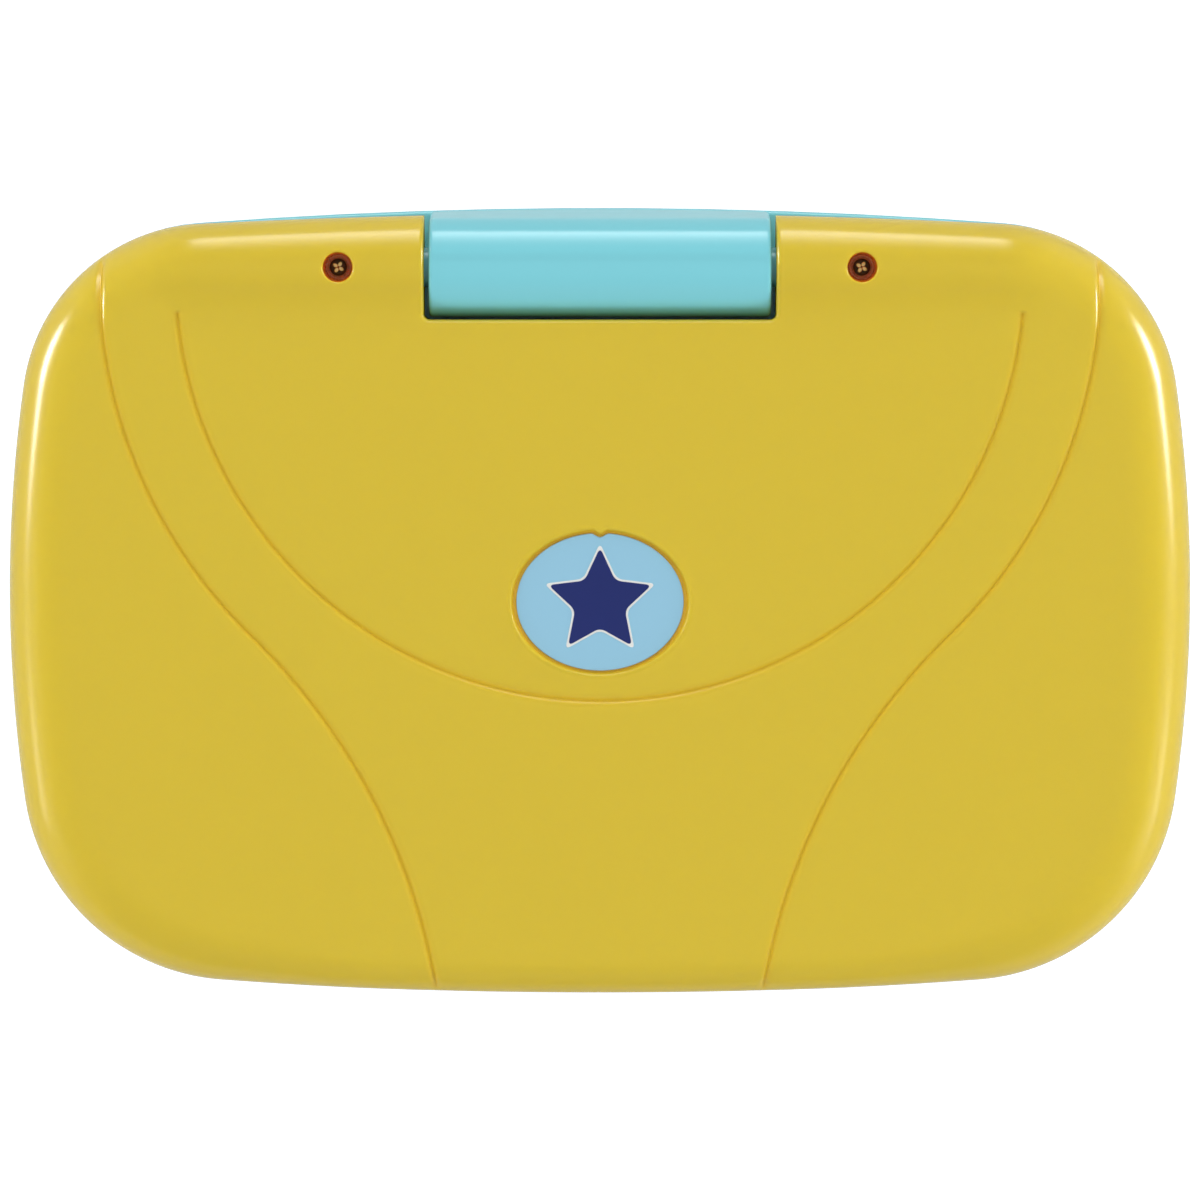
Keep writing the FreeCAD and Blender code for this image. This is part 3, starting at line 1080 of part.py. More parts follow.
def all_parts():
    parts = {
        "lid_back_cover": lid_back_cover(),
        "badge_label": badge_label(),
        "lid_screws": lid_screws(),
        "hinge_cap_left": mirrored(hinge_cap_right()),
        "hinge_cap_right": hinge_cap_right(),
        "screen_bezel": screen_bezel(),
        "bezel_screws": bezel_screws(),
        "screen_window": screen_window(),
        "display_panel": display_panel(),
        "display_holder": display_holder(),
        "display_board": display_board(),
        "display_leds": display_leds(),
        "display_screws": display_screws(),
        "lid_cable": lid_cable(),
        "hinge_barrel": hinge_barrel(),
        "hinge_pin_left": mirrored(hinge_pin_right()),
        "hinge_pin_right": hinge_pin_right(),
        "barrel_screws": barrel_screws(),
        "keyboard_plate": keyboard_plate(),
        "rubber_keypad": rubber_keypad(),
        "main_board": main_board(),
        "board_screws": board_screws(),
        "board_parts": board_parts(),
        "speaker_frame": speaker_frame(),
        "speaker_cone": speaker_cone(),
        "speaker_magnet": speaker_magnet(),
        "speaker_wires": speaker_wires(),
        "power_slider": power_slider(),
        "slide_switch": slide_switch(),
        "base_top_shell": base_top_shell(),
        "base_bottom_shell": base_bottom_shell(),
        "case_screws": case_screws(),
        "rubber_feet": rubber_feet(),
        "battery_door": battery_door(),
        "door_screw": door_screw(),
        "batteries": batteries(),
        "battery_contacts": battery_contacts(),
        "battery_wires": battery_wires(),
        "hinge_cable": hinge_cable(),
    }
    for name, sides, x, y in key_places():
        parts[name] = key(sides, x, y)
    return parts


os.makedirs("parts", exist_ok=True)
for name, shape in all_parts().items():
    shape.exportStep(f"parts/{name}.step")
    state = "valid" if shape.isValid() else "INVALID"
    print(name, len(shape.Solids), "solids", round(shape.Volume, 1), "mm3", state)
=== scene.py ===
import json
import math

import bmesh
import bpy
import numpy as np
from mathutils import Matrix, Vector
from mathutils.geometry import delaunay_2d_cdt


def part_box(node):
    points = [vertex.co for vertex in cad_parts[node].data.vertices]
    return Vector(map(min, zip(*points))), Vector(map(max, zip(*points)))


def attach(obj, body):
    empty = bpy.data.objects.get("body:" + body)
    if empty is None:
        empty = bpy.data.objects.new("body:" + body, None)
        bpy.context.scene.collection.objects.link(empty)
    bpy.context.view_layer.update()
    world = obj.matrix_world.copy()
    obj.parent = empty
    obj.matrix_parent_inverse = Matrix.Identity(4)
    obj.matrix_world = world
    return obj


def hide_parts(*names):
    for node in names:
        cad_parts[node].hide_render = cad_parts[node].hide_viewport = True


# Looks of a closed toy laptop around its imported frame. Shapes are worked out in millimetres.

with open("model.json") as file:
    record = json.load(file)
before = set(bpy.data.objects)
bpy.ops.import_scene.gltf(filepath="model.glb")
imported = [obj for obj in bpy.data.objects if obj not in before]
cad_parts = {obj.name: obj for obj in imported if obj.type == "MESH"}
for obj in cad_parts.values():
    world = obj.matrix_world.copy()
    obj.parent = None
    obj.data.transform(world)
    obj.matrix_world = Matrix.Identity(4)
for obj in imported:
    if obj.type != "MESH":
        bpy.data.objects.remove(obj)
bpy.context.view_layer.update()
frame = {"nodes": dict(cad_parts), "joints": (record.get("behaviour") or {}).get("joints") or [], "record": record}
MM = 0.001
SIDES = (-1, 1)


def node_box(name):
    """Lowest and highest corner of a CAD node, in millimetres."""
    return [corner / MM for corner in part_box(name)]


# Places taken from the frame
hinge = next(joint for joint in frame["joints"] if joint["name"] == "lid_hinge")
HINGE_Y = hinge["pos_m"][1] / MM
HINGE_Z = hinge["pos_m"][2] / MM
RIM_Z = node_box("lid_back_cover")[0].z
BARREL_HALF = node_box("hinge_barrel")[1].x
BASE_REAR_Y, DECK_Z = node_box("base_top_shell")[1].yz
label_low, label_high = node_box("badge_label")
screws_low, screws_high = node_box("lid_screws")

# Plan outline of the lid: bowed sides and ends joined by tangent corner arcs
HALF_WIDTH = 120.0
FRONT_Y = -79.6
LID_REAR_Y = 78.45
SIDE_BOW_RADIUS = 300.0
SIDE_BOW_Y = 2.0
FRONT_BOW_RADIUS = 1250.0
REAR_BOW_RADIUS = 1600.0
FRONT_CORNER_RADIUS = 43.0
REAR_CORNER_RADIUS = 38.0

# Section of the lid
WALL = 2.2
RIM_ROUNDING = 0.5
TOP_Z = 45.0
EDGE_RADIUS = 12.5
FRONT_EDGE_RADIUS = 6.5
FRONT_EDGE_HALF = 45.0
FRONT_EDGE_FADE = 55.0
HUMP_RADIUS = 10.4
HUMP_REACH = 11.0
HUMP_FADE_START = 80.0
HUMP_FADE_END = 99.0
LEAST_REAR_DEPTH = WALL + 0.5
KNUCKLE_SPLIT_X = 78.0
BEARING_BORE = 4.06
NOTCH_HALF = 35.6
NOTCH_Y = 57.0
NOTCH_CORNER = 1.2
NOTCH_LIP = 1.1

# Screw holes, engraved lines and badge recess of the lid
CAD_HEAD_RADIUS = 2.1
SCREW_X = (screws_high.x - screws_low.x) / 2 - CAD_HEAD_RADIUS
SOCKET_RADIUS = 3.0
SOCKET_LIP = 0.6
SOCKET_SEAT_Z = 40.2
SOCKET_SEAT_RADIUS = 2.5
SHANK_HOLE_RADIUS = 1.6
BOSS_RADIUS = 4.5
LINE_CENTRE_Y = HINGE_Y - 1.9
INNER_LINE_RADIUS = 85.7
OUTER_LINE_RADIUS = 101.2
FRONT_LINE_RADIUS = 129.0
LINE_TURN = math.radians(45.8)
INNER_LINE_END = math.radians(5.0)
LINE_OVERRUN = math.radians(12.0)
LINE_DEPTH = 0.7
LINE_SHOULDER = 0.46
LINE_BOTTOM = 0.2
LINE_STEP = 0.45
LINE_CLEAR = 2.2
LINE_FADE = 1.5
LINE_END_STEEPNESS = 2.0
# Painted orange shade: its strength at the bottom of the engraved lines, and the depth below the screw holes' lip
# where it begins
LINE_PAINTED_SHADE = 0.1
SOCKET_PAINTED_SHADE_DEPTH = 0.4
BADGE_HALF_LENGTH = 17.7
BADGE_HALF_BREADTH = 14.4
BADGE_DEPTH = 0.9
BADGE_EDGE_INSIDE = 0.15
BADGE_EDGE_OUTSIDE = 0.45
BADGE_TAB_HALF = 1.5
BADGE_TAB_REACH = 0.75
BADGE_BEAD = 0.12
BADGE_BEAD_PLACE = 0.75
BADGE_BEAD_HALF = 0.32
# Strength of the painted orange shade over the badge's recess
BADGE_PAINTED_SHADE = 0.25

# Density and tolerances of the meshes
BOW_STEP = 2.0
CORNER_STEP = 1.3
EDGE_RINGS = 20
INNER_RINGS = 7
FILL_STEP = 7.0
HUMP_ROWS_BEHIND = 1.0
HUMP_ROWS_AHEAD = 0.6
NOTCH_REAR_STEP = 6
NOTCH_SIDE_POINTS = 14
NOTCH_CORNER_STEP = 15
KNUCKLE_MITRE = 1.03
RIM_ROWS = ((0, 0, 1), (0, 0.3, 0.3), (0, 1, 0), (WALL, -1, 0), (WALL, -0.3, 0.3), (WALL, 0, 1))
LIP_SHARES = (0.1, 0.3, 0.6, 1.0, 1.8)
LINE_ROWS = (0.16, 0.36, 0.62, 0.95, 1.4, 2.0, 2.8, 4.0)
LINE_SPARE = 1.2
BADGE_RINGS = 15
BADGE_RING_FIRST = -0.3
BADGE_RING_LAST = 2.5
BADGE_RING_POINTS = 120
TAB_SPAN = 1.2
TAB_INSIDE = 1.6
TAB_COLUMNS = 17
TAB_ROWS = 13
CIRCLE_POINTS = 40
HOLE_CHORD = 0.9955
EDGE_MARGIN = 0.02
BOSS_MARGIN = 0.2
INNER_NOTCH_SHARE = 0.995
ON_LINE = 0.001
PLAN_TOLERANCE = 1e-5
NEVER_ZERO = 1e-6
NORMAL_REACH = 0.01
MERGE_DISTANCE = 0.002
SHARP_ANGLE = math.radians(35)

# Hinge barrel, whose foot follows the rear of the base
BARREL_RADIUS = 10.1
BARREL_END = 0.9
BARREL_STEP = 2.0
BARREL_ROWS = 8
BARREL_END_ROWS = 7
BARREL_ARC_POINTS = 64
BARREL_BACK_POINTS = 8
BARREL_UNDER_POINTS = 11
BARREL_FOOT_SETBACK = 0.12
BARREL_SKIRT = 0.8
BASE_REAR_BOW_RADIUS = 1100.0
BARREL_FOOT_FRONT = 6.0
BARREL_BACK_TURN = math.radians(10.0)
PIN_RADIUS = 4.02
PIN_GRIP = 12.0

# Screws of the lid
SCREW_HEAD_RADIUS = 1.95
SCREW_HEAD_DOME = 0.35
SCREW_SHANK_RADIUS = 1.25
SCREW_TIP = 1.2
SCREW_TIP_RADIUS = 0.2
SCREW_POINTS = 72
SCREW_RINGS = 24
SCREW_MIDDLE = 0.05
SCREW_TURN = math.radians(14)
PETAL_PLACE = 0.66
PETAL_LENGTH = 0.5
PETAL_BREADTH = 0.37
PETAL_DEPTH = 0.5
PETAL_EDGE = 1.2
PETAL_SOFTNESS = 0.35
# Outer ring of the screw heads that gets a painted glint, and the glint's strength
HEAD_RIM = 0.88
HEAD_RIM_PAINTED_GLINT = 0.45

# Label of the badge
LABEL_GAP = 0.5
LABEL_SIDE_GAP = 0.8
LABEL_NOTCH_HALF = 1.9
LABEL_NOTCH_REACH = 0.85
LABEL_EDGE = 0.12
LABEL_POINTS = 240

# Star, numbers and words
STAR_REACH = 11.0
STAR_WAIST = 5.3
STAR_ROUNDING = 1.3
STAR_BORDER = 0.45
STAR_RISE = 0.14
STAR_EDGE = STAR_RISE / 4
STAR_CORNERS = 10
STAR_TIP_POINTS = 9
LETTER_RISE = 0.2
LETTER_EDGE = 0.06
LETTER_RESOLUTION = 6
NUMBER_SIZE = 17.0
SLIDER_TRAVEL = 6.0
WORD_REACH = 16.0
WORD_SIZE = 4.2

# Picture on the display
DISPLAY_DOT = 1.6
DISPLAY_FIGURE = 17.0
DISPLAY_PITCH = 46.0
DISPLAY_Y = -10.0
DISPLAY_SQUARE = 0.9
DISPLAY_SLOPE = 1.7

# Colours, in linear light
LID_YELLOW = (0.64, 0.47, 0.025)
# Orange that paints shade into the lid's engraved lines, badge recess and screw holes
PAINTED_SHADE_ORANGE = (0.95, 0.27, 0.008)
BASE_AQUA = (0.2, 0.62, 0.7)
LABEL_BLUE = (0.28, 0.55, 0.72)
STAR_NAVY = (0.004, 0.014, 0.13)
SCREW_BRASS = (0.42, 0.33, 0.17)
SCREW_DARK = (0.06, 0.06, 0.04)
# Bright brass that paints glints into the screw heads' recesses and onto their rims
PAINTED_GLINT_BRASS = (1.0, 0.85, 0.36)
DISPLAY_GREEN = (0.42, 0.5, 0.38)
DISPLAY_INK = (0.06, 0.08, 0.07)
KEY_COLOURS = {
    "key_red": (0.62, 0.035, 0.03),
    "key_orange": (0.78, 0.22, 0.02),
    "key_green": (0.1, 0.42, 0.06),
    "key_blue": (0.03, 0.16, 0.52),
    "key_purple": (0.24, 0.05, 0.38),
}

# Studio, in metres, apart from the camera's sensor in millimetres
TARGET = (0.0, -0.0001, 0.032)
CAMERA_PLACE = (0.0, 0.074, 2.0)
VIEW_WIDTH = 244.08 * MM
SENSOR_WIDTH = 36.0
CLIP_END = 20.0
FLOOR_REACH = 6.0
FLOOR_COLOUR = (0.45, 0.45, 0.45)
FLOOR_SEEN_COLOUR = (0.5, 0.5, 0.5)
FLOOR_GLOW = 0.78
FLOOR_IN_GLOSS = 0.3
WORLD_LEVEL = 0.45
LEFT_LAMP = (-0.97, 0.26, 0.05)
RIGHT_LAMP = (0.97, 0.26, 0.065)
SIDE_LAMP_LENGTH = 0.54
SIDE_LAMP_HEIGHT = 0.2
SIDE_LAMP_RADIANCE = 50.0
SIDE_LAMP_FADE = 1.6
LEFT_GLOW = (-0.97, -0.21, 0.03)
LEFT_GLOW_LENGTH = 0.32
LEFT_GLOW_RADIANCE = 5.0
RIGHT_GLOW = (0.97, -0.33, 0.06)
RIGHT_GLOW_LENGTH = 0.44
RIGHT_GLOW_RADIANCE = 4.2
SIDE_GLOW_HEIGHT = 0.4
RIGHT_GLOW_FADE = 0.15
LOW_RISE = 0.4
LOW_FALL = 1.3
LEFT_CARD = (-0.85, -0.18, 0.22)
RIGHT_CARD = (0.85, -0.18, 0.22)
SIDE_CARD_LENGTH = 0.9
SIDE_CARD_HEIGHT = 0.42
LEFT_CARD_RADIANCE = 7.2
RIGHT_CARD_RADIANCE = 9.0
REAR_PLACE = (0.0, 1.1, 0.52)
REAR_FILL_WIDTH = 0.95
REAR_HEIGHT = 1.15
REAR_LAMP_WIDTH = 0.9
REAR_LAMP_EDGE = 0.4
REAR_LAMP_RADIANCE = 6.0
REAR_LAMP_FALL = 3.0
REAR_FILL_RADIANCE = 6.6
FRONT_FILL = (0.0, -1.0, 0.72)
FRONT_FILL_WIDTH = 1.0
FRONT_FILL_HEIGHT = 0.7
FRONT_FILL_RADIANCE = 1.8
TOP_FILL = (0.0, 0.0, 2.3)
TOP_FILL_WIDTH = 2.4
TOP_FILL_RADIANCE = 0.9


def smoothstep(value):
    value = np.clip(value, 0, 1)
    return value * value * (3 - 2 * value)


def corner_centre(end_centre, end_radius, corner_radius):
    """Centre of the right-hand corner arc, tangent inside the side bow and an end bow."""
    to_side = SIDE_BOW_RADIUS - corner_radius
    to_end = end_radius - corner_radius
    between = end_centre - SIDE_CENTRE
    along = (to_side ** 2 - to_end ** 2 + between.length_squared) / (2 * between.length)
    across = math.sqrt(to_side ** 2 - along ** 2)
    forward = between.normalized()
    foot = SIDE_CENTRE + forward * along
    sideways = Vector((-forward.y, forward.x)) * across
    return max(foot + sideways, foot - sideways, key=lambda point: point.x)


def bearing(start, end):
    return math.atan2(end.y - start.y, end.x - start.x)


SIDE_CENTRE = Vector((HALF_WIDTH - SIDE_BOW_RADIUS, SIDE_BOW_Y))
REAR_CENTRE = Vector((0, LID_REAR_Y - REAR_BOW_RADIUS))
FRONT_CENTRE = Vector((0, FRONT_Y + FRONT_BOW_RADIUS))
REAR_CORNER = corner_centre(REAR_CENTRE, REAR_BOW_RADIUS, REAR_CORNER_RADIUS)
FRONT_CORNER = corner_centre(FRONT_CENTRE, FRONT_BOW_RADIUS, FRONT_CORNER_RADIUS)
REAR_TURN = bearing(REAR_CENTRE, REAR_CORNER)
REAR_SIDE_TURN = bearing(SIDE_CENTRE, REAR_CORNER)
FRONT_SIDE_TURN = bearing(SIDE_CENTRE, FRONT_CORNER)
FRONT_TURN = bearing(FRONT_CENTRE, FRONT_CORNER)
NOTCH_REAR_Y = REAR_CENTRE.y + math.sqrt(REAR_BOW_RADIUS ** 2 - NOTCH_HALF ** 2)


def outline_stations():
    """Arc centre, radius and bearing at each point of the outline, from the notch round to its other end."""
    notch_bearing = math.acos(NOTCH_HALF / REAR_BOW_RADIUS)
    split_bearing = math.acos(KNUCKLE_SPLIT_X / REAR_BOW_RADIUS)
    arcs = [
        (REAR_CENTRE, REAR_BOW_RADIUS, notch_bearing, split_bearing, BOW_STEP),
        (REAR_CENTRE, REAR_BOW_RADIUS, split_bearing, REAR_TURN, BOW_STEP),
        (REAR_CORNER, REAR_CORNER_RADIUS, REAR_TURN, REAR_SIDE_TURN, CORNER_STEP),
        (SIDE_CENTRE, SIDE_BOW_RADIUS, REAR_SIDE_TURN, FRONT_SIDE_TURN, BOW_STEP),
        (FRONT_CORNER, FRONT_CORNER_RADIUS, FRONT_SIDE_TURN, FRONT_TURN, CORNER_STEP),
        (FRONT_CENTRE, FRONT_BOW_RADIUS, FRONT_TURN, -math.pi / 2, BOW_STEP),
    ]
    right = []
    for centre, radius, first, last, step in arcs:
        count = max(2, round(radius * abs(last - first) / step))
        for turn in np.linspace(first, last, count, endpoint=False):
            right.append((centre.x, centre.y, radius, turn))
    front = [(FRONT_CENTRE.x, FRONT_CENTRE.y, FRONT_BOW_RADIUS, -math.pi / 2)]
    left = [(-x, y, radius, math.pi - turn) for x, y, radius, turn in reversed(right)]
    return np.array(right + front + left)


def at_inset(stations, inset):
    """Plan points of the outline moved inwards, with outward normals."""
    normals = np.stack([np.cos(stations[:, 3]), np.sin(stations[:, 3])], 1)
    return stations[:, :2] + normals * (stations[:, 2:3] - inset), normals


def inset_of(x, y):
    """Distance of plan points from the lid's outline, positive inside."""
    x = np.abs(x)
    inset = SIDE_BOW_RADIUS - np.hypot(x - SIDE_CENTRE.x, y - SIDE_CENTRE.y)
    inset = np.minimum(inset, REAR_BOW_RADIUS - np.hypot(x, y - REAR_CENTRE.y))
    inset = np.minimum(inset, FRONT_BOW_RADIUS - np.hypot(x, y - FRONT_CENTRE.y))
    corners = (
        (REAR_CORNER, REAR_CORNER_RADIUS, REAR_SIDE_TURN, REAR_TURN),
        (FRONT_CORNER, FRONT_CORNER_RADIUS, FRONT_TURN, FRONT_SIDE_TURN),
    )
    for centre, radius, low, high in corners:
        turn = np.arctan2(y - centre.y, x - centre.x)
        inside = (turn > low) & (turn < high)
        inset = np.where(inside, radius - np.hypot(x - centre.x, y - centre.y), inset)
    return inset


def rear_depth(x):
    """Distance from the hinge axis back to the outline, across the lid."""
    x = np.abs(x)
    bow = REAR_CENTRE.y + np.sqrt(REAR_BOW_RADIUS ** 2 - np.minimum(x, REAR_BOW_RADIUS) ** 2)
    across = np.clip(x - REAR_CORNER.x, 0, REAR_CORNER_RADIUS)
    corner = REAR_CORNER.y + np.sqrt(REAR_CORNER_RADIUS ** 2 - across ** 2)
    turn_x = REAR_CENTRE.x + REAR_BOW_RADIUS * math.cos(REAR_TURN)
    return np.maximum(np.where(x < turn_x, bow, corner) - HINGE_Y, LEAST_REAR_DEPTH)


def notch_distance(x, y):
    """Distance of plan points from the hinge notch, negative inside it."""
    across = np.abs(x) - NOTCH_HALF + NOTCH_CORNER
    along = NOTCH_Y + NOTCH_CORNER - y
    outside = np.hypot(np.maximum(across, 0), np.maximum(along, 0))
    return outside + np.minimum(np.maximum(across, along), 0) - NOTCH_CORNER


def edge_radius(x, y):
    """Radius of the roll-off at the lid's edge, which is smaller along the front."""
    share = smoothstep((np.abs(x) - FRONT_EDGE_HALF) / FRONT_EDGE_FADE)
    front = FRONT_EDGE_RADIUS + share * (EDGE_RADIUS - FRONT_EDGE_RADIUS)
    return np.where(y < 0, front, EDGE_RADIUS)


def lid_height(x, y, wall=0.0):
    """Height of the lid's skin, or of a surface that lies a wall below it."""
    edge = edge_radius(x, y)
    radius = edge - wall
    inset = np.clip(inset_of(x, y) - wall, 0, radius)
    plate = TOP_Z - edge + np.sqrt(radius ** 2 - (radius - inset) ** 2)
    rise = HINGE_Z + HUMP_RADIUS - TOP_Z
    slope = 2 * math.atan(rise / HUMP_REACH)
    hollow_radius = HUMP_REACH / math.sin(slope) - HUMP_RADIUS + wall
    crown_radius = HUMP_RADIUS - wall
    ahead = np.clip(HINGE_Y - y, 0, HUMP_REACH)
    crown = HINGE_Z + np.sqrt(crown_radius ** 2 - np.minimum(ahead, crown_radius) ** 2)
    hollow = TOP_Z - wall + hollow_radius - np.sqrt(hollow_radius ** 2 - (HUMP_REACH - ahead) ** 2)
    front = np.where(ahead < crown_radius * math.sin(slope), crown, hollow)
    behind = np.clip((y - HINGE_Y) / (rear_depth(x) - wall), 0, 1)
    rear = HINGE_Z + crown_radius * np.sqrt(1 - behind ** 2)
    hump = np.where(y < HINGE_Y, front, rear)
    share = 1 - smoothstep((np.abs(x) - HUMP_FADE_START) / (HUMP_FADE_END - HUMP_FADE_START))
    share = np.where(y < HINGE_Y - HUMP_REACH, 0, share)
    return plate + share * (hump - plate)


def arc_distance(x, y, centre, radius, low, high):
    """Distance of plan points from an arc between two bearings, growing fast past its ends."""
    turn = np.arctan2(y - centre[1], x - centre[0])
    turn = np.where(turn < low - math.pi, turn + 2 * math.pi, turn)
    past = radius * np.abs(turn - np.clip(turn, low, high))
    across = np.hypot(x - centre[0], y - centre[1]) - radius
    return np.hypot(across, past * LINE_END_STEEPNESS)


def line_arcs():
    """Centre, radius and bearings of the engraved lines on the right half of the lid."""
    reach = OUTER_LINE_RADIUS + FRONT_LINE_RADIUS
    middle = (0, LINE_CENTRE_Y)
    front = (reach * math.cos(LINE_TURN), LINE_CENTRE_Y - reach * math.sin(LINE_TURN))
    return (
        (middle, INNER_LINE_RADIUS, -math.pi / 2, -INNER_LINE_END),
        (middle, OUTER_LINE_RADIUS, -LINE_TURN, LINE_OVERRUN),
        (front, FRONT_LINE_RADIUS, math.pi - LINE_TURN, math.pi),
    )


def line_distance(x, y):
    """Distance of plan points from the nearest engraved line."""
    nearest = np.full(np.shape(x), np.inf)
    for centre, radius, low, high in line_arcs():
        nearest = np.minimum(nearest, arc_distance(np.abs(x), y, centre, radius, low, high))
    return nearest


def line_depth(x, y):
    """Depth of the engraved lines, which fade out just above the lid's side walls."""
    fade = smoothstep(inset_of(x, y) / LINE_FADE)
    beside = np.sqrt(line_distance(x, y) ** 2 + LINE_BOTTOM ** 2) - LINE_BOTTOM
    return LINE_DEPTH * np.exp(-beside / LINE_SHOULDER) * fade


def hole_distance(x, y):
    """Distance of plan points from the middle of the nearer screw hole."""
    return np.hypot(np.abs(x) - SCREW_X, y - HINGE_Y)


def edge_drop(distance, radius):
    """Fall of a surface that rounds over at an edge."""
    missing = np.clip(radius - distance, 0, radius)
    return radius - np.sqrt(radius ** 2 - missing ** 2)


def badge_distance(x, y):
    """Distance of plan points from the badge's edge, which has a small tab at its rear."""
    scaled = np.hypot(x / BADGE_HALF_LENGTH, y / BADGE_HALF_BREADTH)
    steepness = np.hypot(x / BADGE_HALF_LENGTH ** 2, y / BADGE_HALF_BREADTH ** 2)
    tab = BADGE_TAB_REACH * smoothstep(1 - np.abs(x) / BADGE_TAB_HALF) * (y > 0)
    return (scaled - 1) * scaled / np.maximum(steepness, NEVER_ZERO) + tab


def badge_share(x, y):
    """How far plan points lie in the badge's recess, from 0 on the skin to 1 on its floor."""
    step = (badge_distance(x, y) + BADGE_EDGE_INSIDE) / (BADGE_EDGE_INSIDE + BADGE_EDGE_OUTSIDE)
    return 1 - smoothstep(step)


def detailed_height(x, y):
    """Height of the skin with its notch lip, screw hole lips, badge recess and the bead round it."""
    height = lid_height(x, y)
    height = height - edge_drop(notch_distance(x, y), NOTCH_LIP)
    height = height - edge_drop(hole_distance(x, y) - SOCKET_RADIUS, SOCKET_LIP)
    beside = (badge_distance(x, y) - BADGE_BEAD_PLACE) / BADGE_BEAD_HALF
    height = height - BADGE_DEPTH * badge_share(x, y) + BADGE_BEAD * np.exp(-beside ** 2)
    knuckle = (np.abs(x) <= KNUCKLE_SPLIT_X) & (y > HINGE_Y)
    return np.where(knuckle, np.maximum(height, HINGE_Z), height)


def surface_normals(points_at, x, y):
    """Upward normals of a surface given as a function of plan points."""
    along_x = points_at(x + NORMAL_REACH, y) - points_at(x - NORMAL_REACH, y)
    along_y = points_at(x, y + NORMAL_REACH) - points_at(x, y - NORMAL_REACH)
    normals = np.cross(along_x, along_y)
    return normals / np.linalg.norm(normals, axis=1, keepdims=True)


def plain_skin(x, y):
    return np.stack([x, y, detailed_height(x, y)], 1)


def engraved_skin(x, y):
    depth = line_depth(x, y)
    return plain_skin(x, y) - surface_normals(plain_skin, x, y) * depth[:, None]


def notch_path():
    """Plan points round the hinge notch from left to right, with normals that point into it."""
    depth = NOTCH_REAR_Y - HINGE_Y
    rear_turns = np.radians(np.arange(90 - NOTCH_REAR_STEP, 0, -NOTCH_REAR_STEP))
    side = [HINGE_Y + depth * math.sin(turn) for turn in rear_turns]
    side += list(np.linspace(HINGE_Y, NOTCH_Y + NOTCH_CORNER, NOTCH_SIDE_POINTS))
    path = [(-NOTCH_HALF, y, 1.0, 0.0) for y in side]
    corner_x = NOTCH_CORNER - NOTCH_HALF
    corner_y = NOTCH_Y + NOTCH_CORNER
    for turn in np.radians(np.arange(180 + NOTCH_CORNER_STEP, 270 + NOTCH_CORNER_STEP, NOTCH_CORNER_STEP)):
        away_x = math.cos(turn)
        away_y = math.sin(turn)
        path.append((corner_x + NOTCH_CORNER * away_x, corner_y + NOTCH_CORNER * away_y, -away_x, -away_y))
    path += [(x, NOTCH_Y, 0.0, 1.0) for x in np.arange(corner_x + BOW_STEP, 0, BOW_STEP)]
    path += [(0.0, NOTCH_Y, 0.0, 1.0)]
    path += [(-x, y, -nx, ny) for x, y, nx, ny in reversed(path[:-1])]
    return np.array(path)


def lid_boundary():
    """Closed plan boundary of the lid as rows of x, y, normal x, normal y and whether it is a knuckle's."""
    points, normals = at_inset(outline_stations(), 0.0)
    knuckle = (np.abs(points[:, 0]) < KNUCKLE_SPLIT_X - ON_LINE) & (points[:, 1] > 0)
    normals[0] = (-1, 1)
    normals[-1] = (1, 1)
    outer = np.column_stack([points, normals, knuckle])
    path = notch_path()
    inner = np.column_stack([path, np.abs(path[:, 0]) > NOTCH_HALF - ON_LINE])
    return np.vstack([outer, inner])


def inward(boundary, depth):
    """Boundary points moved inwards, kept from crossing at the rear corners of the knuckles."""
    depth = np.broadcast_to(depth, len(boundary))
    points = boundary[:, :2] - boundary[:, 2:4] * depth[:, None]
    at_notch = notch_distance(*boundary[:, :2].T) < ON_LINE
    rear = (boundary[:, 4] > 0) & ~at_notch
    across = np.sign(points[:, 0]) * np.maximum(np.abs(points[:, 0]), NOTCH_HALF + depth)
    points[:, 0] = np.where(rear, across, points[:, 0])
    rear_y = np.minimum(points[:, 1], NOTCH_REAR_Y - KNUCKLE_MITRE * depth)
    points[:, 1] = np.where(at_notch, rear_y, points[:, 1])
    return points


def arc_points(x, y, radius, turns):
    return np.stack([x + radius * np.cos(turns), y + radius * np.sin(turns)], 1)


def circle_points(x, y, radius, count=CIRCLE_POINTS):
    return arc_points(x, y, radius, np.linspace(0, 2 * math.pi, count, endpoint=False))


def line_points():
    """Rows of points along the engraved lines."""
    half = LINE_SHOULDER * np.array(LINE_ROWS)
    offsets = np.concatenate([-half, [0.0], half])
    rows = []
    for centre, radius, low, high in line_arcs():
        spare = LINE_SPARE / radius
        turns = np.arange(low - spare, high + spare, LINE_STEP / radius)
        turn, offset = np.meshgrid(turns, offsets)
        rows.append(arc_points(*centre, (radius + offset).ravel(), turn.ravel()))
    right = np.vstack(rows)
    return np.vstack([right, right * (-1, 1)])


def grid_points(x, y):
    """Plan points at all crossings of columns and rows."""
    return np.stack(np.meshgrid(x, y), -1).reshape(-1, 2)


def skin_points(wall, rings, station_stride):
    """Plan points of the lid's rolled edge, hump and flat."""
    stations = outline_stations()[::station_stride]
    radius = EDGE_RADIUS - wall
    sets = []
    for turn in np.linspace(0, math.pi / 2, rings + 1)[1:]:
        sets.append(at_inset(stations, wall + radius * (1 - math.cos(turn)))[0])
    across = np.arange(-HUMP_FADE_END, HUMP_FADE_END + 1, BOW_STEP * station_stride)
    along = HINGE_Y - np.linspace(-HUMP_ROWS_BEHIND, HUMP_REACH + HUMP_ROWS_AHEAD, rings)
    sets.append(grid_points(across, along))
    x = np.arange(-HALF_WIDTH, HALF_WIDTH, FILL_STEP)
    y = np.arange(FRONT_Y, HINGE_Y - HUMP_REACH, FILL_STEP)
    sets.append(grid_points(x, y))
    return np.vstack(sets)


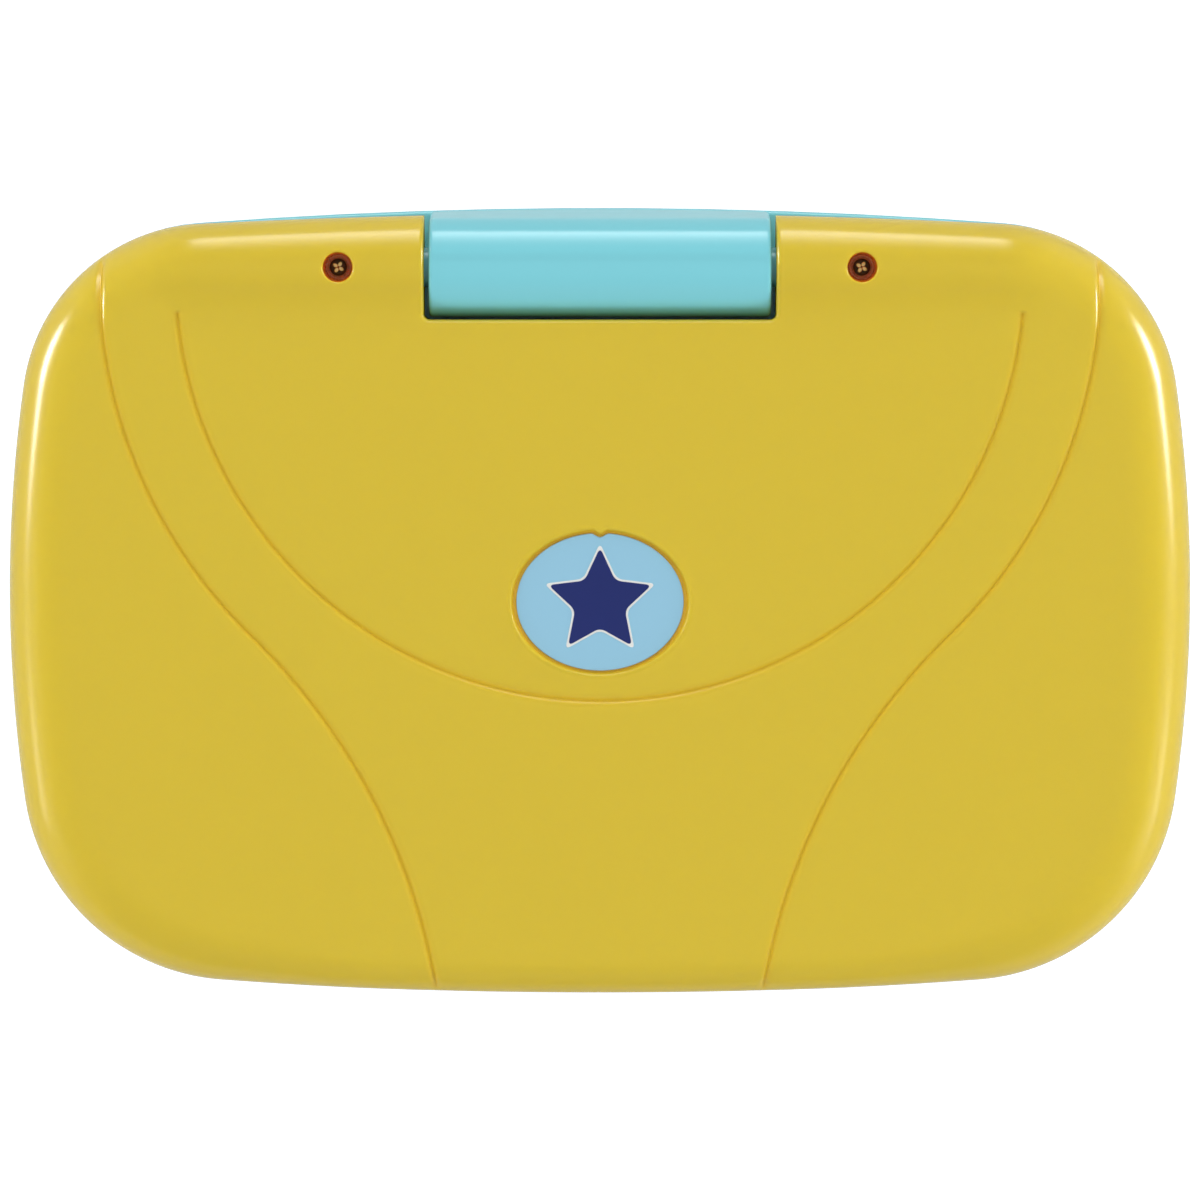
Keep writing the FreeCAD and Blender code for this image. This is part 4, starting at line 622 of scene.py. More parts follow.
def triangulate(loops, points, inside):
    """Triangles over the plan points and closed loops whose centres lie inside. Loop points come first."""
    plan = np.vstack(loops + [points])
    ends = np.cumsum([len(loop) for loop in loops])
    rings = [list(range(end - len(loop), end)) for loop, end in zip(loops, ends)]
    edges = [edge for ring in rings for edge in zip(ring, ring[1:] + ring[:1])]
    places = [Vector(point) for point in plan]
    vertices, _, triangles, sources, _, _ = delaunay_2d_cdt(places, edges, [], 0, PLAN_TOLERANCE, True)
    vertices = np.array([tuple(vertex) for vertex in vertices])
    triangles = np.array(triangles)
    triangles = triangles[inside(*vertices[triangles].mean(1).T)]
    found = {source: vertex for vertex, merged in enumerate(sources) for source in merged}
    return vertices, triangles, [[found[i] for i in ring] for ring in rings]


class Builder:
    """Collects points and faces, merging points that coincide and leaving out faces with no area."""

    def __init__(self):
        self.index = {}
        self.points = []
        self.faces = []

    def point(self, place):
        key = tuple(int(round(value / MERGE_DISTANCE)) for value in place)
        if key not in self.index:
            self.index[key] = len(self.points)
            self.points.append(tuple(float(value) for value in place))
        return self.index[key]

    def face(self, places):
        corners = []
        for place in places:
            corner = self.point(place)
            if corner not in corners:
                corners.append(corner)
        if len(corners) > 2:
            self.faces.append(corners)

    def strips(self, rows):
        """Quads between closed rows of points, from each row to the next."""
        count = len(rows[0])
        for first, second in zip(rows, rows[1:]):
            for i in range(count):
                j = (i + 1) % count
                self.face((first[i], first[j], second[j], second[i]))

    def mesh(self, name):
        """Smooth mesh of the faces, turned outwards, with only real edges sharp."""
        mesh = bpy.data.meshes.new(name)
        mesh.from_pydata([Vector(point) * MM for point in self.points], [], self.faces)
        mesh.validate()
        shape = bmesh.new()
        shape.from_mesh(mesh)
        bmesh.ops.recalc_face_normals(shape, faces=shape.faces)
        shape.to_mesh(mesh)
        shape.free()
        mesh.shade_smooth()
        mesh.set_sharp_from_angle(angle=SHARP_ANGLE)
        return mesh


def mark_points(mesh, name, marks):
    """Number on each point of a mesh, which its material reads to paint shade or glints."""
    attribute = mesh.attributes.new(name, "FLOAT", "POINT")
    for point, mark in marks.items():
        attribute.data[point].value = mark


def bottom_height(x, y, knuckle, at_notch):
    """Lower edge of the lid: the rim, the swing of its rear corners, or the knuckles' parting plane."""
    behind = np.clip(y - HINGE_Y, 0, HUMP_RADIUS)
    swing = np.maximum(RIM_Z, HINGE_Z - np.sqrt(HUMP_RADIUS ** 2 - behind ** 2))
    bore = np.sqrt(np.maximum(BEARING_BORE ** 2 - (y - HINGE_Y) ** 2, 0))
    return np.where(knuckle, HINGE_Z + np.where(at_notch, bore, 0), swing)


def wall_rows(boundary, outer_row, inner_row):
    """Rows of points down the outer wall, round the rim and up the inner wall, as closed loops.

    The points where a knuckle begins or ends come twice, once at the height of each side."""
    order = []
    count = len(boundary)
    for i in range(count):
        order.append((i, boundary[i, 4]))
        if boundary[i, 4] != boundary[(i + 1) % count, 4]:
            order.append(((i + 1) % count if boundary[i, 4] else i, 1))
    places, knuckle = np.array(order, int).T
    around = boundary[places]
    at_notch = notch_distance(*around[:, :2].T) < ON_LINE
    rounding = np.where(knuckle, 0, RIM_ROUNDING)
    rows = []
    for wall, inset, rise in RIM_ROWS:
        plan = inward(around, wall + inset * rounding)
        z = bottom_height(plan[:, 0], plan[:, 1], knuckle, at_notch) + rise * rounding
        rows.append(np.column_stack([plan, z]))
    return [outer_row[places]] + rows + [inner_row[places]]


def detail_points():
    """Plan points of the outer skin, close together at its lips, badge and engraved lines."""
    sets = [skin_points(0, EDGE_RINGS, 1)]
    path = notch_path()
    for share in LIP_SHARES:
        sets.append(path[:, :2] - path[:, 2:] * (NOTCH_LIP * share))
        for side in SIDES:
            sets.append(circle_points(side * SCREW_X, HINGE_Y, SOCKET_RADIUS + SOCKET_LIP * share))
    for share in np.linspace(BADGE_RING_FIRST, BADGE_RING_LAST, BADGE_RINGS):
        grow = share * (BADGE_EDGE_INSIDE + BADGE_EDGE_OUTSIDE) - BADGE_EDGE_INSIDE
        ring = circle_points(0, 0, 1, BADGE_RING_POINTS)
        sets.append(ring * (BADGE_HALF_LENGTH + grow, BADGE_HALF_BREADTH + grow))
    tab_x = np.linspace(-TAB_SPAN, TAB_SPAN, TAB_COLUMNS) * BADGE_TAB_HALF
    tab_y = np.linspace(-TAB_INSIDE * BADGE_TAB_REACH, TAB_SPAN * BADGE_TAB_REACH, TAB_ROWS)
    sets.append(grid_points(tab_x, BADGE_HALF_BREADTH + tab_y))
    points = np.vstack(sets)
    return np.vstack([points[line_distance(*points.T) > LINE_CLEAR], line_points()])


def sheet(edge, wall, hole_radius, hole_margin, points):
    """Triangles over plan points inside an edge, with round holes at the screws."""
    holes = [circle_points(side * SCREW_X, HINGE_Y, hole_radius) for side in SIDES]

    def inside(x, y):
        beside_holes = hole_distance(x, y) > hole_radius * HOLE_CHORD
        return (inset_of(x, y) > wall) & (notch_distance(x, y) > wall * INNER_NOTCH_SHARE) & beside_holes

    keep = inset_of(*points.T) > wall + EDGE_MARGIN
    keep &= notch_distance(*points.T) > wall + EDGE_MARGIN
    keep &= hole_distance(*points.T) > hole_radius + hole_margin
    return triangulate([edge] + holes, points[keep], inside)


def set_skin_normals(mesh, face_count, known):
    """Gives the first faces of a mesh the normals that are known at their points."""
    normals = np.zeros((len(mesh.loops), 3))
    for polygon in mesh.polygons[:face_count]:
        for loop in polygon.loop_indices:
            normals[loop] = known[mesh.loops[loop].vertex_index]
    mesh.normals_split_custom_set(normals.tolist())


def lid_mesh():
    """Shell of the lid, with its hollows marked for painted orange shade and the exact normals of its outer skin.
    """
    boundary = lid_boundary()
    plan, triangles, loops = sheet(boundary[:, :2], 0, SOCKET_RADIUS, EDGE_MARGIN, detail_points())
    skin = engraved_skin(*plan.T)
    normals = surface_normals(engraved_skin, *plan.T)
    edge = np.array(loops[0])
    on_outline = notch_distance(*plan[edge].T) > NOTCH_LIP
    normals[edge[on_outline]] = np.column_stack([boundary[on_outline, 2:4], np.zeros(on_outline.sum())])

    inner_edge = inward(boundary, WALL)
    inner_points = skin_points(WALL, INNER_RINGS, 2)
    inner_plan, inner_triangles, inner_loops = sheet(inner_edge, WALL, BOSS_RADIUS, BOSS_MARGIN, inner_points)
    lining = np.column_stack([inner_plan, lid_height(*inner_plan.T, WALL)])

    builder = Builder()
    for triangle in triangles:
        builder.face(skin[triangle])
    outer_faces = len(builder.faces)
    for triangle in inner_triangles:
        builder.face(lining[triangle[::-1]])
    builder.strips(wall_rows(boundary, skin[loops[0]], lining[inner_loops[0]]))
    # Painted orange shade, by the depth of the engraved lines and over the badge's recess
    painted_shade = line_depth(*plan.T) / LINE_DEPTH * LINE_PAINTED_SHADE + badge_share(*plan.T) * BADGE_PAINTED_SHADE
    hollow = {builder.point(place): mark for place, mark in zip(skin, painted_shade)}
    levels = ((SOCKET_SEAT_RADIUS, SOCKET_SEAT_Z), (SHANK_HOLE_RADIUS, SOCKET_SEAT_Z),
              (SHANK_HOLE_RADIUS, HINGE_Z), (BOSS_RADIUS, HINGE_Z))
    for side, loop, inner_loop in zip(SIDES, loops[1:], inner_loops[1:]):
        rows = [skin[loop], skin[loop] - (0, 0, SOCKET_PAINTED_SHADE_DEPTH)]
        for radius, z in levels:
            ring = circle_points(side * SCREW_X, HINGE_Y, radius)
            rows.append(np.column_stack([ring, np.full(len(ring), z)]))
        # Painted orange shade in full below the lip of each screw hole
        for row in rows[1:]:
            hollow.update((builder.point(place), 1.0) for place in row)
        builder.strips(rows + [lining[inner_loop]])
    mesh = builder.mesh("lid_shell")
    mark_points(mesh, "hollow", hollow)
    known = {builder.point(place): normal for place, normal in zip(skin, normals)}
    set_skin_normals(mesh, outer_faces, known)
    return mesh


def barrel_section(x, inset):
    """Closed section of the hinge barrel and its foot, drawn in by an inset, as rows of y and z."""
    radius = BARREL_RADIUS - inset
    front_y = HINGE_Y - BARREL_FOOT_FRONT + inset
    meet = math.pi + math.acos((HINGE_Y - front_y) / radius)
    turns = np.linspace(meet, BARREL_BACK_TURN, BARREL_ARC_POINTS)
    arc = arc_points(HINGE_Y, HINGE_Z, radius, turns)
    foot_y = BASE_REAR_Y - BARREL_FOOT_SETBACK - x ** 2 / (2 * BASE_REAR_BOW_RADIUS) - inset
    share = np.linspace(0, 1, BARREL_BACK_POINTS + 1)[1:, None]
    back = arc[-1] + share * (np.array([foot_y, DECK_Z - BARREL_SKIRT]) - arc[-1])
    under_y = np.linspace(foot_y, front_y, BARREL_UNDER_POINTS + 1)[1:]
    under = np.stack([under_y, np.full(BARREL_UNDER_POINTS, DECK_Z)], 1)
    return np.vstack([under[-1:], arc, back, under[:-1]])


def barrel_mesh():
    """Hinge barrel with rounded ends and the bores that hold the pins."""
    builder = Builder()
    straight = np.linspace(BARREL_STEP, BARREL_HALF - BARREL_END - BARREL_STEP, BARREL_ROWS)
    stations = [(x, 0.0) for x in straight]
    for turn in np.linspace(0, math.pi / 2, BARREL_END_ROWS):
        stations.append((BARREL_HALF - BARREL_END * (1 - math.sin(turn)), BARREL_END * (1 - math.cos(turn))))
    halves = []
    for side in SIDES:
        rows = []
        for x, inset in stations:
            section = barrel_section(x, inset)
            rows.append(np.column_stack([np.full(len(section), side * x), section]))
        spread = np.arctan2(rows[-1][:, 2] - HINGE_Z, rows[-1][:, 1] - HINGE_Y)
        bore = arc_points(HINGE_Y, HINGE_Z, PIN_RADIUS, spread)
        for x in (BARREL_HALF, BARREL_HALF - PIN_GRIP):
            rows.append(np.column_stack([np.full(len(bore), side * x), bore]))
        builder.face(rows[-1])
        halves.append(rows)
    builder.strips(halves[0][::-1] + halves[1])
    return builder.mesh("hinge_barrel_skin")


def screw_head(radius, turn):
    """Fall of a domed screw head at polar points, and how far they lie in its four-petal recess."""
    turn = np.mod(turn - SCREW_TURN, math.pi / 2) - math.pi / 4
    along = (radius * np.cos(turn) - PETAL_PLACE) / PETAL_LENGTH
    across = radius * np.sin(turn) / PETAL_BREADTH
    recess = smoothstep((PETAL_EDGE - np.hypot(along, across)) / PETAL_SOFTNESS)
    dome = SCREW_HEAD_DOME * (radius / SCREW_HEAD_RADIUS) ** 2
    return dome + PETAL_DEPTH * recess, recess


def screw_mesh():
    """Both screws of the lid, with their recesses and head rims marked by an attribute for painted glints."""
    builder = Builder()
    marks = {}
    turns = np.linspace(0, 2 * math.pi, SCREW_POINTS, endpoint=False)
    rows = []
    for radius in np.linspace(SCREW_MIDDLE, 1, SCREW_RINGS) * SCREW_HEAD_RADIUS:
        fall, recess = screw_head(radius, turns)
        # Painted glint on the head's outer ring, as well as in its recess
        rim = HEAD_RIM_PAINTED_GLINT if radius > HEAD_RIM * SCREW_HEAD_RADIUS else 0.0
        rows.append((radius, screws_high.z - fall, np.maximum(recess, rim)))
    under = ((SCREW_HEAD_RADIUS, SOCKET_SEAT_Z), (SCREW_SHANK_RADIUS, SOCKET_SEAT_Z),
             (SCREW_SHANK_RADIUS, screws_low.z + SCREW_TIP), (SCREW_TIP_RADIUS, screws_low.z))
    nothing = np.zeros(SCREW_POINTS)
    rows += [(radius, nothing + z, nothing) for radius, z in under]
    for side in SIDES:
        loops = []
        for radius, z, recess in rows:
            ring = circle_points(side * SCREW_X, HINGE_Y, radius, SCREW_POINTS)
            loop = np.column_stack([ring, z])
            loops.append(loop)
            marks.update((builder.point(place), mark) for place, mark in zip(loop, recess))
        builder.face(loops[0])
        builder.face(loops[-1])
        builder.strips(loops)
    mesh = builder.mesh("lid_screw_heads")
    mark_points(mesh, "recess", marks)
    return mesh


def star_outline(reach, waist, rounding):
    """Five-pointed star with its tips rounded, as plan points round the badge's centre."""
    corners = []
    for i in range(STAR_CORNERS):
        turn = math.pi / 2 + i * 2 * math.pi / STAR_CORNERS
        radius = reach if i % 2 == 0 else waist
        corners.append(Vector((radius * math.cos(turn), radius * math.sin(turn))))
    points = []
    for i, corner in enumerate(corners):
        before = (corners[i - 1] - corner).normalized() * rounding
        after = (corners[(i + 1) % STAR_CORNERS] - corner).normalized() * rounding
        for t in np.linspace(0, 1, STAR_TIP_POINTS):
            points.append(corner + before * (1 - t) ** 2 + after * t ** 2)
    return points


def label_outline():
    """Oval that leaves a gap to the badge's recess, with a small notch at its rear."""
    points = []
    for turn in np.linspace(0, 2 * math.pi, LABEL_POINTS, endpoint=False):
        x = (BADGE_HALF_LENGTH - LABEL_SIDE_GAP) * math.cos(turn)
        y = (BADGE_HALF_BREADTH - LABEL_GAP) * math.sin(turn)
        notch = LABEL_NOTCH_REACH * smoothstep(1 - abs(x) / LABEL_NOTCH_HALF) if y > 0 else 0
        points.append(Vector((x, y - notch)))
    return points


def plate_mesh(name, outline, low, high, edge):
    """Thin plate on a plan outline, with its top edge bevelled."""
    builder = Builder()
    count = len(outline)
    inner = []
    for i, point in enumerate(outline):
        along = (outline[(i + 1) % count] - outline[i - 1]).normalized()
        inner.append(point + Vector((-along.y, along.x)) * edge)
    rows = [[(*point, low) for point in outline]]
    rows.append([(*point, high - edge) for point in outline])
    rows.append([(*point, high) for point in inner])
    builder.strips(rows)
    builder.face(rows[0])
    builder.face(rows[-1])
    return builder.mesh(name)


def add_object(name, data):
    """New object in the scene."""
    made = bpy.data.objects.new(name, data)
    bpy.context.scene.collection.objects.link(made)
    return made


def lettering_mesh(name, words, size, place):
    """Raised characters, centred on a point of a level surface."""
    curve = bpy.data.curves.new(name, "FONT")
    curve.body = words
    curve.size = size * MM
    curve.extrude = (LETTER_RISE / 2 - LETTER_EDGE) * MM
    curve.bevel_depth = LETTER_EDGE * MM
    curve.bevel_resolution = 1
    curve.offset = -LETTER_EDGE * MM
    curve.align_x = "CENTER"
    curve.align_y = "CENTER"
    curve.resolution_u = LETTER_RESOLUTION
    text = add_object(name, curve)
    bpy.context.view_layer.update()
    mesh = bpy.data.meshes.new_from_object(text.evaluated_get(bpy.context.evaluated_depsgraph_get()))
    bpy.data.objects.remove(text)
    mesh.name = name
    points = np.array([tuple(vertex.co) for vertex in mesh.vertices])
    middle = (points.min(0) + points.max(0)) / 2
    shift = Vector(place) * MM + Vector((0, 0, LETTER_RISE / 2 * MM))
    for vertex in mesh.vertices:
        vertex.co += shift - Vector((middle[0], middle[1], 0))
    return mesh


def feed(tree, socket, value):
    """Links a socket into another one or sets its value. A colour is given without its opacity."""
    if isinstance(value, bpy.types.NodeSocket):
        tree.links.new(value, socket)
    elif socket.type == "RGBA":
        socket.default_value = (*value, 1)
    else:
        socket.default_value = value


def feed_named(tree, target, inputs):
    """Feeds the inputs of a node by their names, written with underscores for spaces."""
    for name, value in inputs.items():
        feed(tree, target.inputs[name.replace("_", " ")], value)


def node(tree, kind, **inputs):
    """New shader node with the given input values or links."""
    made = tree.nodes.new("ShaderNode" + kind)
    feed_named(tree, made, inputs)
    return made


def calculate(tree, operation, *values):
    """Output of a math node on numbers or sockets."""
    made = node(tree, "Math")
    made.operation = operation
    for value, socket in zip(values, made.inputs):
        feed(tree, socket, value)
    return made.outputs[0]


def mix_colours(tree, factor, first, second):
    mix = node(tree, "Mix")
    mix.data_type = "RGBA"
    colours = [socket for socket in mix.inputs if socket.type == "RGBA"]
    for value, socket in zip((factor, first, second), (mix.inputs[0], *colours)):
        feed(tree, socket, value)
    return next(socket for socket in mix.outputs if socket.type == "RGBA")


def noise(tree, scale, detail=2.0, stretch=(1, 1, 1)):
    place = node(tree, "TexCoord").outputs["Object"]
    mapping = node(tree, "Mapping", Vector=place, Scale=stretch)
    return node(tree, "TexNoise", Vector=mapping.outputs["Vector"], Scale=scale, Detail=detail).outputs[0]


def add_finish(name, colour, shift=0.05, patch=25.0, gloss=(0.16, 0.24), grain=450.0, relief=0.004,
               stretch=(1, 1, 1), **inputs):
    """Finish with patches of slightly uneven colour, uneven gloss and a fine relief in millimetres."""
    made = bpy.data.materials.new(name)
    made.use_nodes = True
    tree = made.node_tree
    dark = tuple(channel * (1 - shift) for channel in colour)
    light = tuple(min(1.0, channel * (1 + shift)) for channel in colour)
    inputs["Base_Color"] = mix_colours(tree, noise(tree, patch), dark, light)
    fine = noise(tree, grain, detail=3.0, stretch=stretch)
    inputs["Roughness"] = node(tree, "MapRange", Value=fine, To_Min=gloss[0], To_Max=gloss[1]).outputs[0]
    inputs["Normal"] = node(tree, "Bump", Height=fine, Strength=1.0, Distance=relief * MM).outputs[0]
    feed_named(tree, tree.nodes["Principled BSDF"], inputs)
    finishes[name] = made


def paint_over(name, factor, colour):
    """Gives a finish another colour as far as a factor says."""
    tree = finishes[name].node_tree
    base = tree.nodes["Principled BSDF"].inputs["Base Color"]
    feed(tree, base, mix_colours(tree, factor, base.links[0].from_socket, colour))


def add_display_picture():
    """Circle, square and triangle in dark dots on the display."""
    tree = finishes["display_print"].node_tree
    place = node(tree, "TexCoord").outputs["Object"]
    dots = node(tree, "VectorMath", Vector=place)
    dots.operation = "SNAP"
    dots.inputs[1].default_value = (DISPLAY_DOT * MM,) * 3
    x, y, _ = node(tree, "SeparateXYZ", Vector=dots.outputs[0]).outputs

    def away(socket, centre):
        return calculate(tree, "ABSOLUTE", calculate(tree, "SUBTRACT", socket, centre * MM))

    half = DISPLAY_FIGURE * MM
    low = half * DISPLAY_SQUARE
    up = calculate(tree, "SUBTRACT", y, DISPLAY_Y * MM)
    tall = calculate(tree, "ABSOLUTE", up)
    span = calculate(tree, "POWER", away(x, -DISPLAY_PITCH), 2.0)
    circle = calculate(tree, "LESS_THAN", calculate(tree, "MULTIPLY_ADD", up, up, span), half ** 2)
    square = calculate(tree, "LESS_THAN", calculate(tree, "MAXIMUM", away(x, 0), tall), low)
    slope = calculate(tree, "MULTIPLY", away(x, DISPLAY_PITCH), DISPLAY_SLOPE)
    triangle = calculate(tree, "LESS_THAN", calculate(tree, "SUBTRACT", slope, up), half)
    triangle = calculate(tree, "MULTIPLY", triangle, calculate(tree, "LESS_THAN", up, low))
    figures = calculate(tree, "MAXIMUM", calculate(tree, "MAXIMUM", circle, square), triangle)
    paint_over("display_print", figures, DISPLAY_INK)


def tint_marked(name, attribute, colour):
    """Paints another colour, here shade or glints, into a finish where the points of a mesh are marked."""
    mark = node(finishes[name].node_tree, "Attribute")
    mark.attribute_name = attribute
    paint_over(name, mark.outputs["Fac"], colour)


def add_piece(name, mesh, body, slot, *replaced, finish=None):
    """Puts a new piece on a body, with the finish of its material slot or another one."""
    piece = add_object(name, mesh)
    mesh.materials.clear()
    mesh.materials.append(finishes[finish or slot])
    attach(piece, body)
    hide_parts(*replaced)


def add_label():
    """Printed label in the badge's recess."""
    mesh = plate_mesh("badge_face", label_outline(), label_low.z, label_high.z, LABEL_EDGE)
    add_piece("badge_face", mesh, "lid", "label_print", "badge_label")


def add_star():
    """Star on the badge: a dark plate on a slightly larger pale one."""
    low = label_high.z
    for name, slot, finish, grow, rise in (
            ("badge_star_border", "white_plastic", None, STAR_BORDER, STAR_RISE / 2),
            ("badge_star", "key_blue", "star_navy", 0.0, STAR_RISE)):
        outline = star_outline(STAR_REACH + 2 * grow, STAR_WAIST + grow, STAR_ROUNDING)
        mesh = plate_mesh(name, outline, low, low + rise, STAR_EDGE)
        add_piece(name, mesh, "lid", slot, finish=finish)


def add_key_numbers():
    for number in range(1, 11):
        key = f"number_key_{number}"
        low, high = node_box(key)
        place = ((low.x + high.x) / 2, (low.y + high.y) / 2, high.z)
        name = f"number_{number}"
        add_piece(name, lettering_mesh(name, str(number), NUMBER_SIZE, place), key, "white_plastic")


def add_switch_words():
    low, high = node_box("power_slider")
    middle = (low.x + high.x) / 2 + SLIDER_TRAVEL / 2
    for words, side in zip(("OFF", "ON"), SIDES):
        place = (middle + side * WORD_REACH, (low.y + high.y) / 2, DECK_Z)
        name = f"switch_{words.lower()}"
        mesh = lettering_mesh(name, words, WORD_SIZE, place)
        add_piece(name, mesh, "base", "key_blue", finish="star_navy")


def add_floor():
    """Grey floor with the object's shadow, which glows to the camera and a little in reflections."""
    mesh = bpy.data.meshes.new("floor")
    corners = [(x * FLOOR_REACH, y * FLOOR_REACH, 0) for x, y in ((-1, -1), (1, -1), (1, 1), (-1, 1))]
    mesh.from_pydata(corners, [], [(0, 1, 2, 3)])
    floor = add_object("floor", mesh)
    paint = bpy.data.materials.new("floor_paint")
    paint.use_nodes = True
    tree = paint.node_tree
    tree.nodes.remove(tree.nodes["Principled BSDF"])
    path = node(tree, "LightPath").outputs
    mirrored = calculate(tree, "MULTIPLY", path["Is Glossy Ray"], FLOOR_IN_GLOSS)
    seen = calculate(tree, "MAXIMUM", path["Is Camera Ray"], mirrored)
    seen = calculate(tree, "MAXIMUM", seen, path["Is Transmission Ray"])
    matt = node(tree, "BsdfDiffuse", Color=FLOOR_COLOUR)
    pale = node(tree, "BsdfDiffuse", Color=FLOOR_SEEN_COLOUR)
    glow = node(tree, "Emission", Strength=FLOOR_GLOW)
    bright = node(tree, "AddShader")
    feed(tree, bright.inputs[0], pale.outputs[0])
    feed(tree, bright.inputs[1], glow.outputs[0])
    choice = node(tree, "MixShader", Fac=seen)
    feed(tree, choice.inputs[1], matt.outputs[0])
    feed(tree, choice.inputs[2], bright.outputs[0])
    feed(tree, tree.nodes["Material Output"].inputs["Surface"], choice.outputs[0])
    mesh.materials.append(paint)


def add_world():
    """Dim surroundings, white where the camera sees them."""
    world = bpy.data.worlds.new("studio")
    bpy.context.scene.world = world
    world.use_nodes = True
    tree = world.node_tree
    sky = tree.nodes["Background"]
    path = node(tree, "LightPath").outputs
    strength = calculate(tree, "MAXIMUM", path["Is Camera Ray"], WORLD_LEVEL)
    feed_named(tree, sky, {"Strength": strength, "Color": (1, 1, 1)})


def hill(tree, along, rise, fall):
    """Curve over a socket's values that climbs from 0 at 0 to a top of 1, and falls to 0 at 1."""
    up = calculate(tree, "POWER", along, rise)
    down = calculate(tree, "POWER", calculate(tree, "SUBTRACT", 1.0, along), fall)
    top = ((rise + fall) / rise) ** rise * ((rise + fall) / fall) ** fall
    return calculate(tree, "MULTIPLY", calculate(tree, "MULTIPLY", up, down), top)


def add_lamp(name, place, width, height, radiance, rays, across=(1.0, 1.0), upwards=(1.0, 1.0)):
    """Soft box that faces the object and fades towards its edges. The radiance is its highest."""
    lamp = bpy.data.lights.new(name, "AREA")
    lamp.shape = "RECTANGLE"
    lamp.size = width
    lamp.size_y = height
    lamp.energy = radiance * math.pi * width * height
    lamp.use_nodes = True
    tree = lamp.node_tree
    spot = node(tree, "NewGeometry").outputs["Parametric"]
    u, v, _ = node(tree, "SeparateXYZ", Vector=spot).outputs
    fade = calculate(tree, "MULTIPLY", hill(tree, u, *across), hill(tree, v, *upwards))
    feed(tree, tree.nodes["Emission"].inputs["Strength"], fade)
    holder = add_object(name, lamp)
    holder.location = place
    holder.rotation_euler = (Vector(TARGET) - Vector(place)).to_track_quat("-Z", "Y").to_euler()
    holder.visible_glossy = rays == "gloss"
    holder.visible_diffuse = rays == "diffuse"


def add_camera():
    camera = bpy.data.cameras.new("camera")
    view = add_object("camera", camera)
    view.location = CAMERA_PLACE
    sight = Vector(TARGET) - view.location
    camera.sensor_width = SENSOR_WIDTH
    camera.lens = SENSOR_WIDTH * sight.length / VIEW_WIDTH
    camera.clip_end = CLIP_END
    back = -sight.normalized()
    right = Vector((0, 1, 0)).cross(back).normalized()
    view.rotation_euler = Matrix((right, back.cross(right), back)).transposed().to_euler()
    bpy.context.scene.camera = view


# Finishes, named by the record's material slots, and two more: star_navy and hinge_screw
finishes = {}
add_finish("lid_yellow", LID_YELLOW, shift=0.012, patch=9.0, gloss=(0.19, 0.23), IOR=1.54,
           Subsurface_Weight=0.38, Subsurface_Radius=(0.75, 0.5, 0.08), Subsurface_Scale=0.0035)
add_finish("base_aqua", BASE_AQUA, shift=0.015, patch=12.0, gloss=(0.13, 0.19))
add_finish("label_print", LABEL_BLUE, shift=0.02, gloss=(0.28, 0.36), grain=1500.0, relief=0.002)
add_finish("star_navy", STAR_NAVY, shift=0.08, patch=120.0, gloss=(0.26, 0.34), grain=1500.0)
add_finish("screw_steel", SCREW_BRASS, shift=0.25, patch=700.0, gloss=(0.22, 0.42), grain=2500.0,
           relief=0.01, Metallic=1.0)
add_finish("hinge_screw", SCREW_DARK, shift=0.3, patch=900.0, gloss=(0.25, 0.4), grain=2500.0,
           relief=0.01, Metallic=1.0)
add_finish("clear_window", (0.93, 0.96, 0.97), shift=0.01, gloss=(0.03, 0.06), relief=0.001,
           Transmission_Weight=1.0, IOR=1.49)
add_finish("display_print", DISPLAY_GREEN, shift=0.03, gloss=(0.35, 0.45))
add_finish("white_plastic", (0.78, 0.78, 0.75), shift=0.03, gloss=(0.3, 0.42))
add_finish("circuit_board", (0.03, 0.2, 0.08), shift=0.35, patch=160.0, gloss=(0.25, 0.4))
add_finish("cable_black", (0.02, 0.02, 0.022), shift=0.2, gloss=(0.5, 0.65), relief=0.02)
add_finish("cable_red", (0.42, 0.02, 0.02), shift=0.15, gloss=(0.45, 0.6), relief=0.02)
add_finish("keypad_rubber", (0.45, 0.46, 0.46), shift=0.06, gloss=(0.6, 0.75), relief=0.02)
add_finish("black_plastic", (0.03, 0.03, 0.03), shift=0.2, gloss=(0.45, 0.6), relief=0.02)
add_finish("steel_sheet", (0.56, 0.56, 0.55), shift=0.08, gloss=(0.25, 0.45), grain=900.0, relief=0.01,
           stretch=(1, 12, 12), Metallic=1.0)
add_finish("speaker_paper", (0.05, 0.05, 0.048), shift=0.3, patch=500.0, gloss=(0.7, 0.9), grain=1800.0,
           relief=0.05)
add_finish("foot_rubber", (0.06, 0.06, 0.065), shift=0.2, patch=200.0, gloss=(0.6, 0.8), grain=1500.0,
           relief=0.04)
add_finish("battery_can", (0.08, 0.22, 0.1), shift=0.1, gloss=(0.25, 0.4))
for slot, colour in KEY_COLOURS.items():
    add_finish(slot, colour, shift=0.04)
finishes["lid_yellow"].node_tree.nodes["Principled BSDF"].subsurface_method = "BURLEY"
# Painted orange shade where the lid's points are marked as hollows
tint_marked("lid_yellow", "hollow", PAINTED_SHADE_ORANGE)
# Painted glints in the screw heads' recesses and on their rims
tint_marked("hinge_screw", "recess", PAINTED_GLINT_BRASS)
add_display_picture()
for part in frame["record"]["subparts"]:
    shape = frame["nodes"][part["node"]]
    shape.data.materials.clear()
    shape.data.materials.append(finishes[part["material_slot"]])
for side in ("left", "right"):
    frame["nodes"][f"hinge_pin_{side}"].data.materials[0] = finishes["base_aqua"]

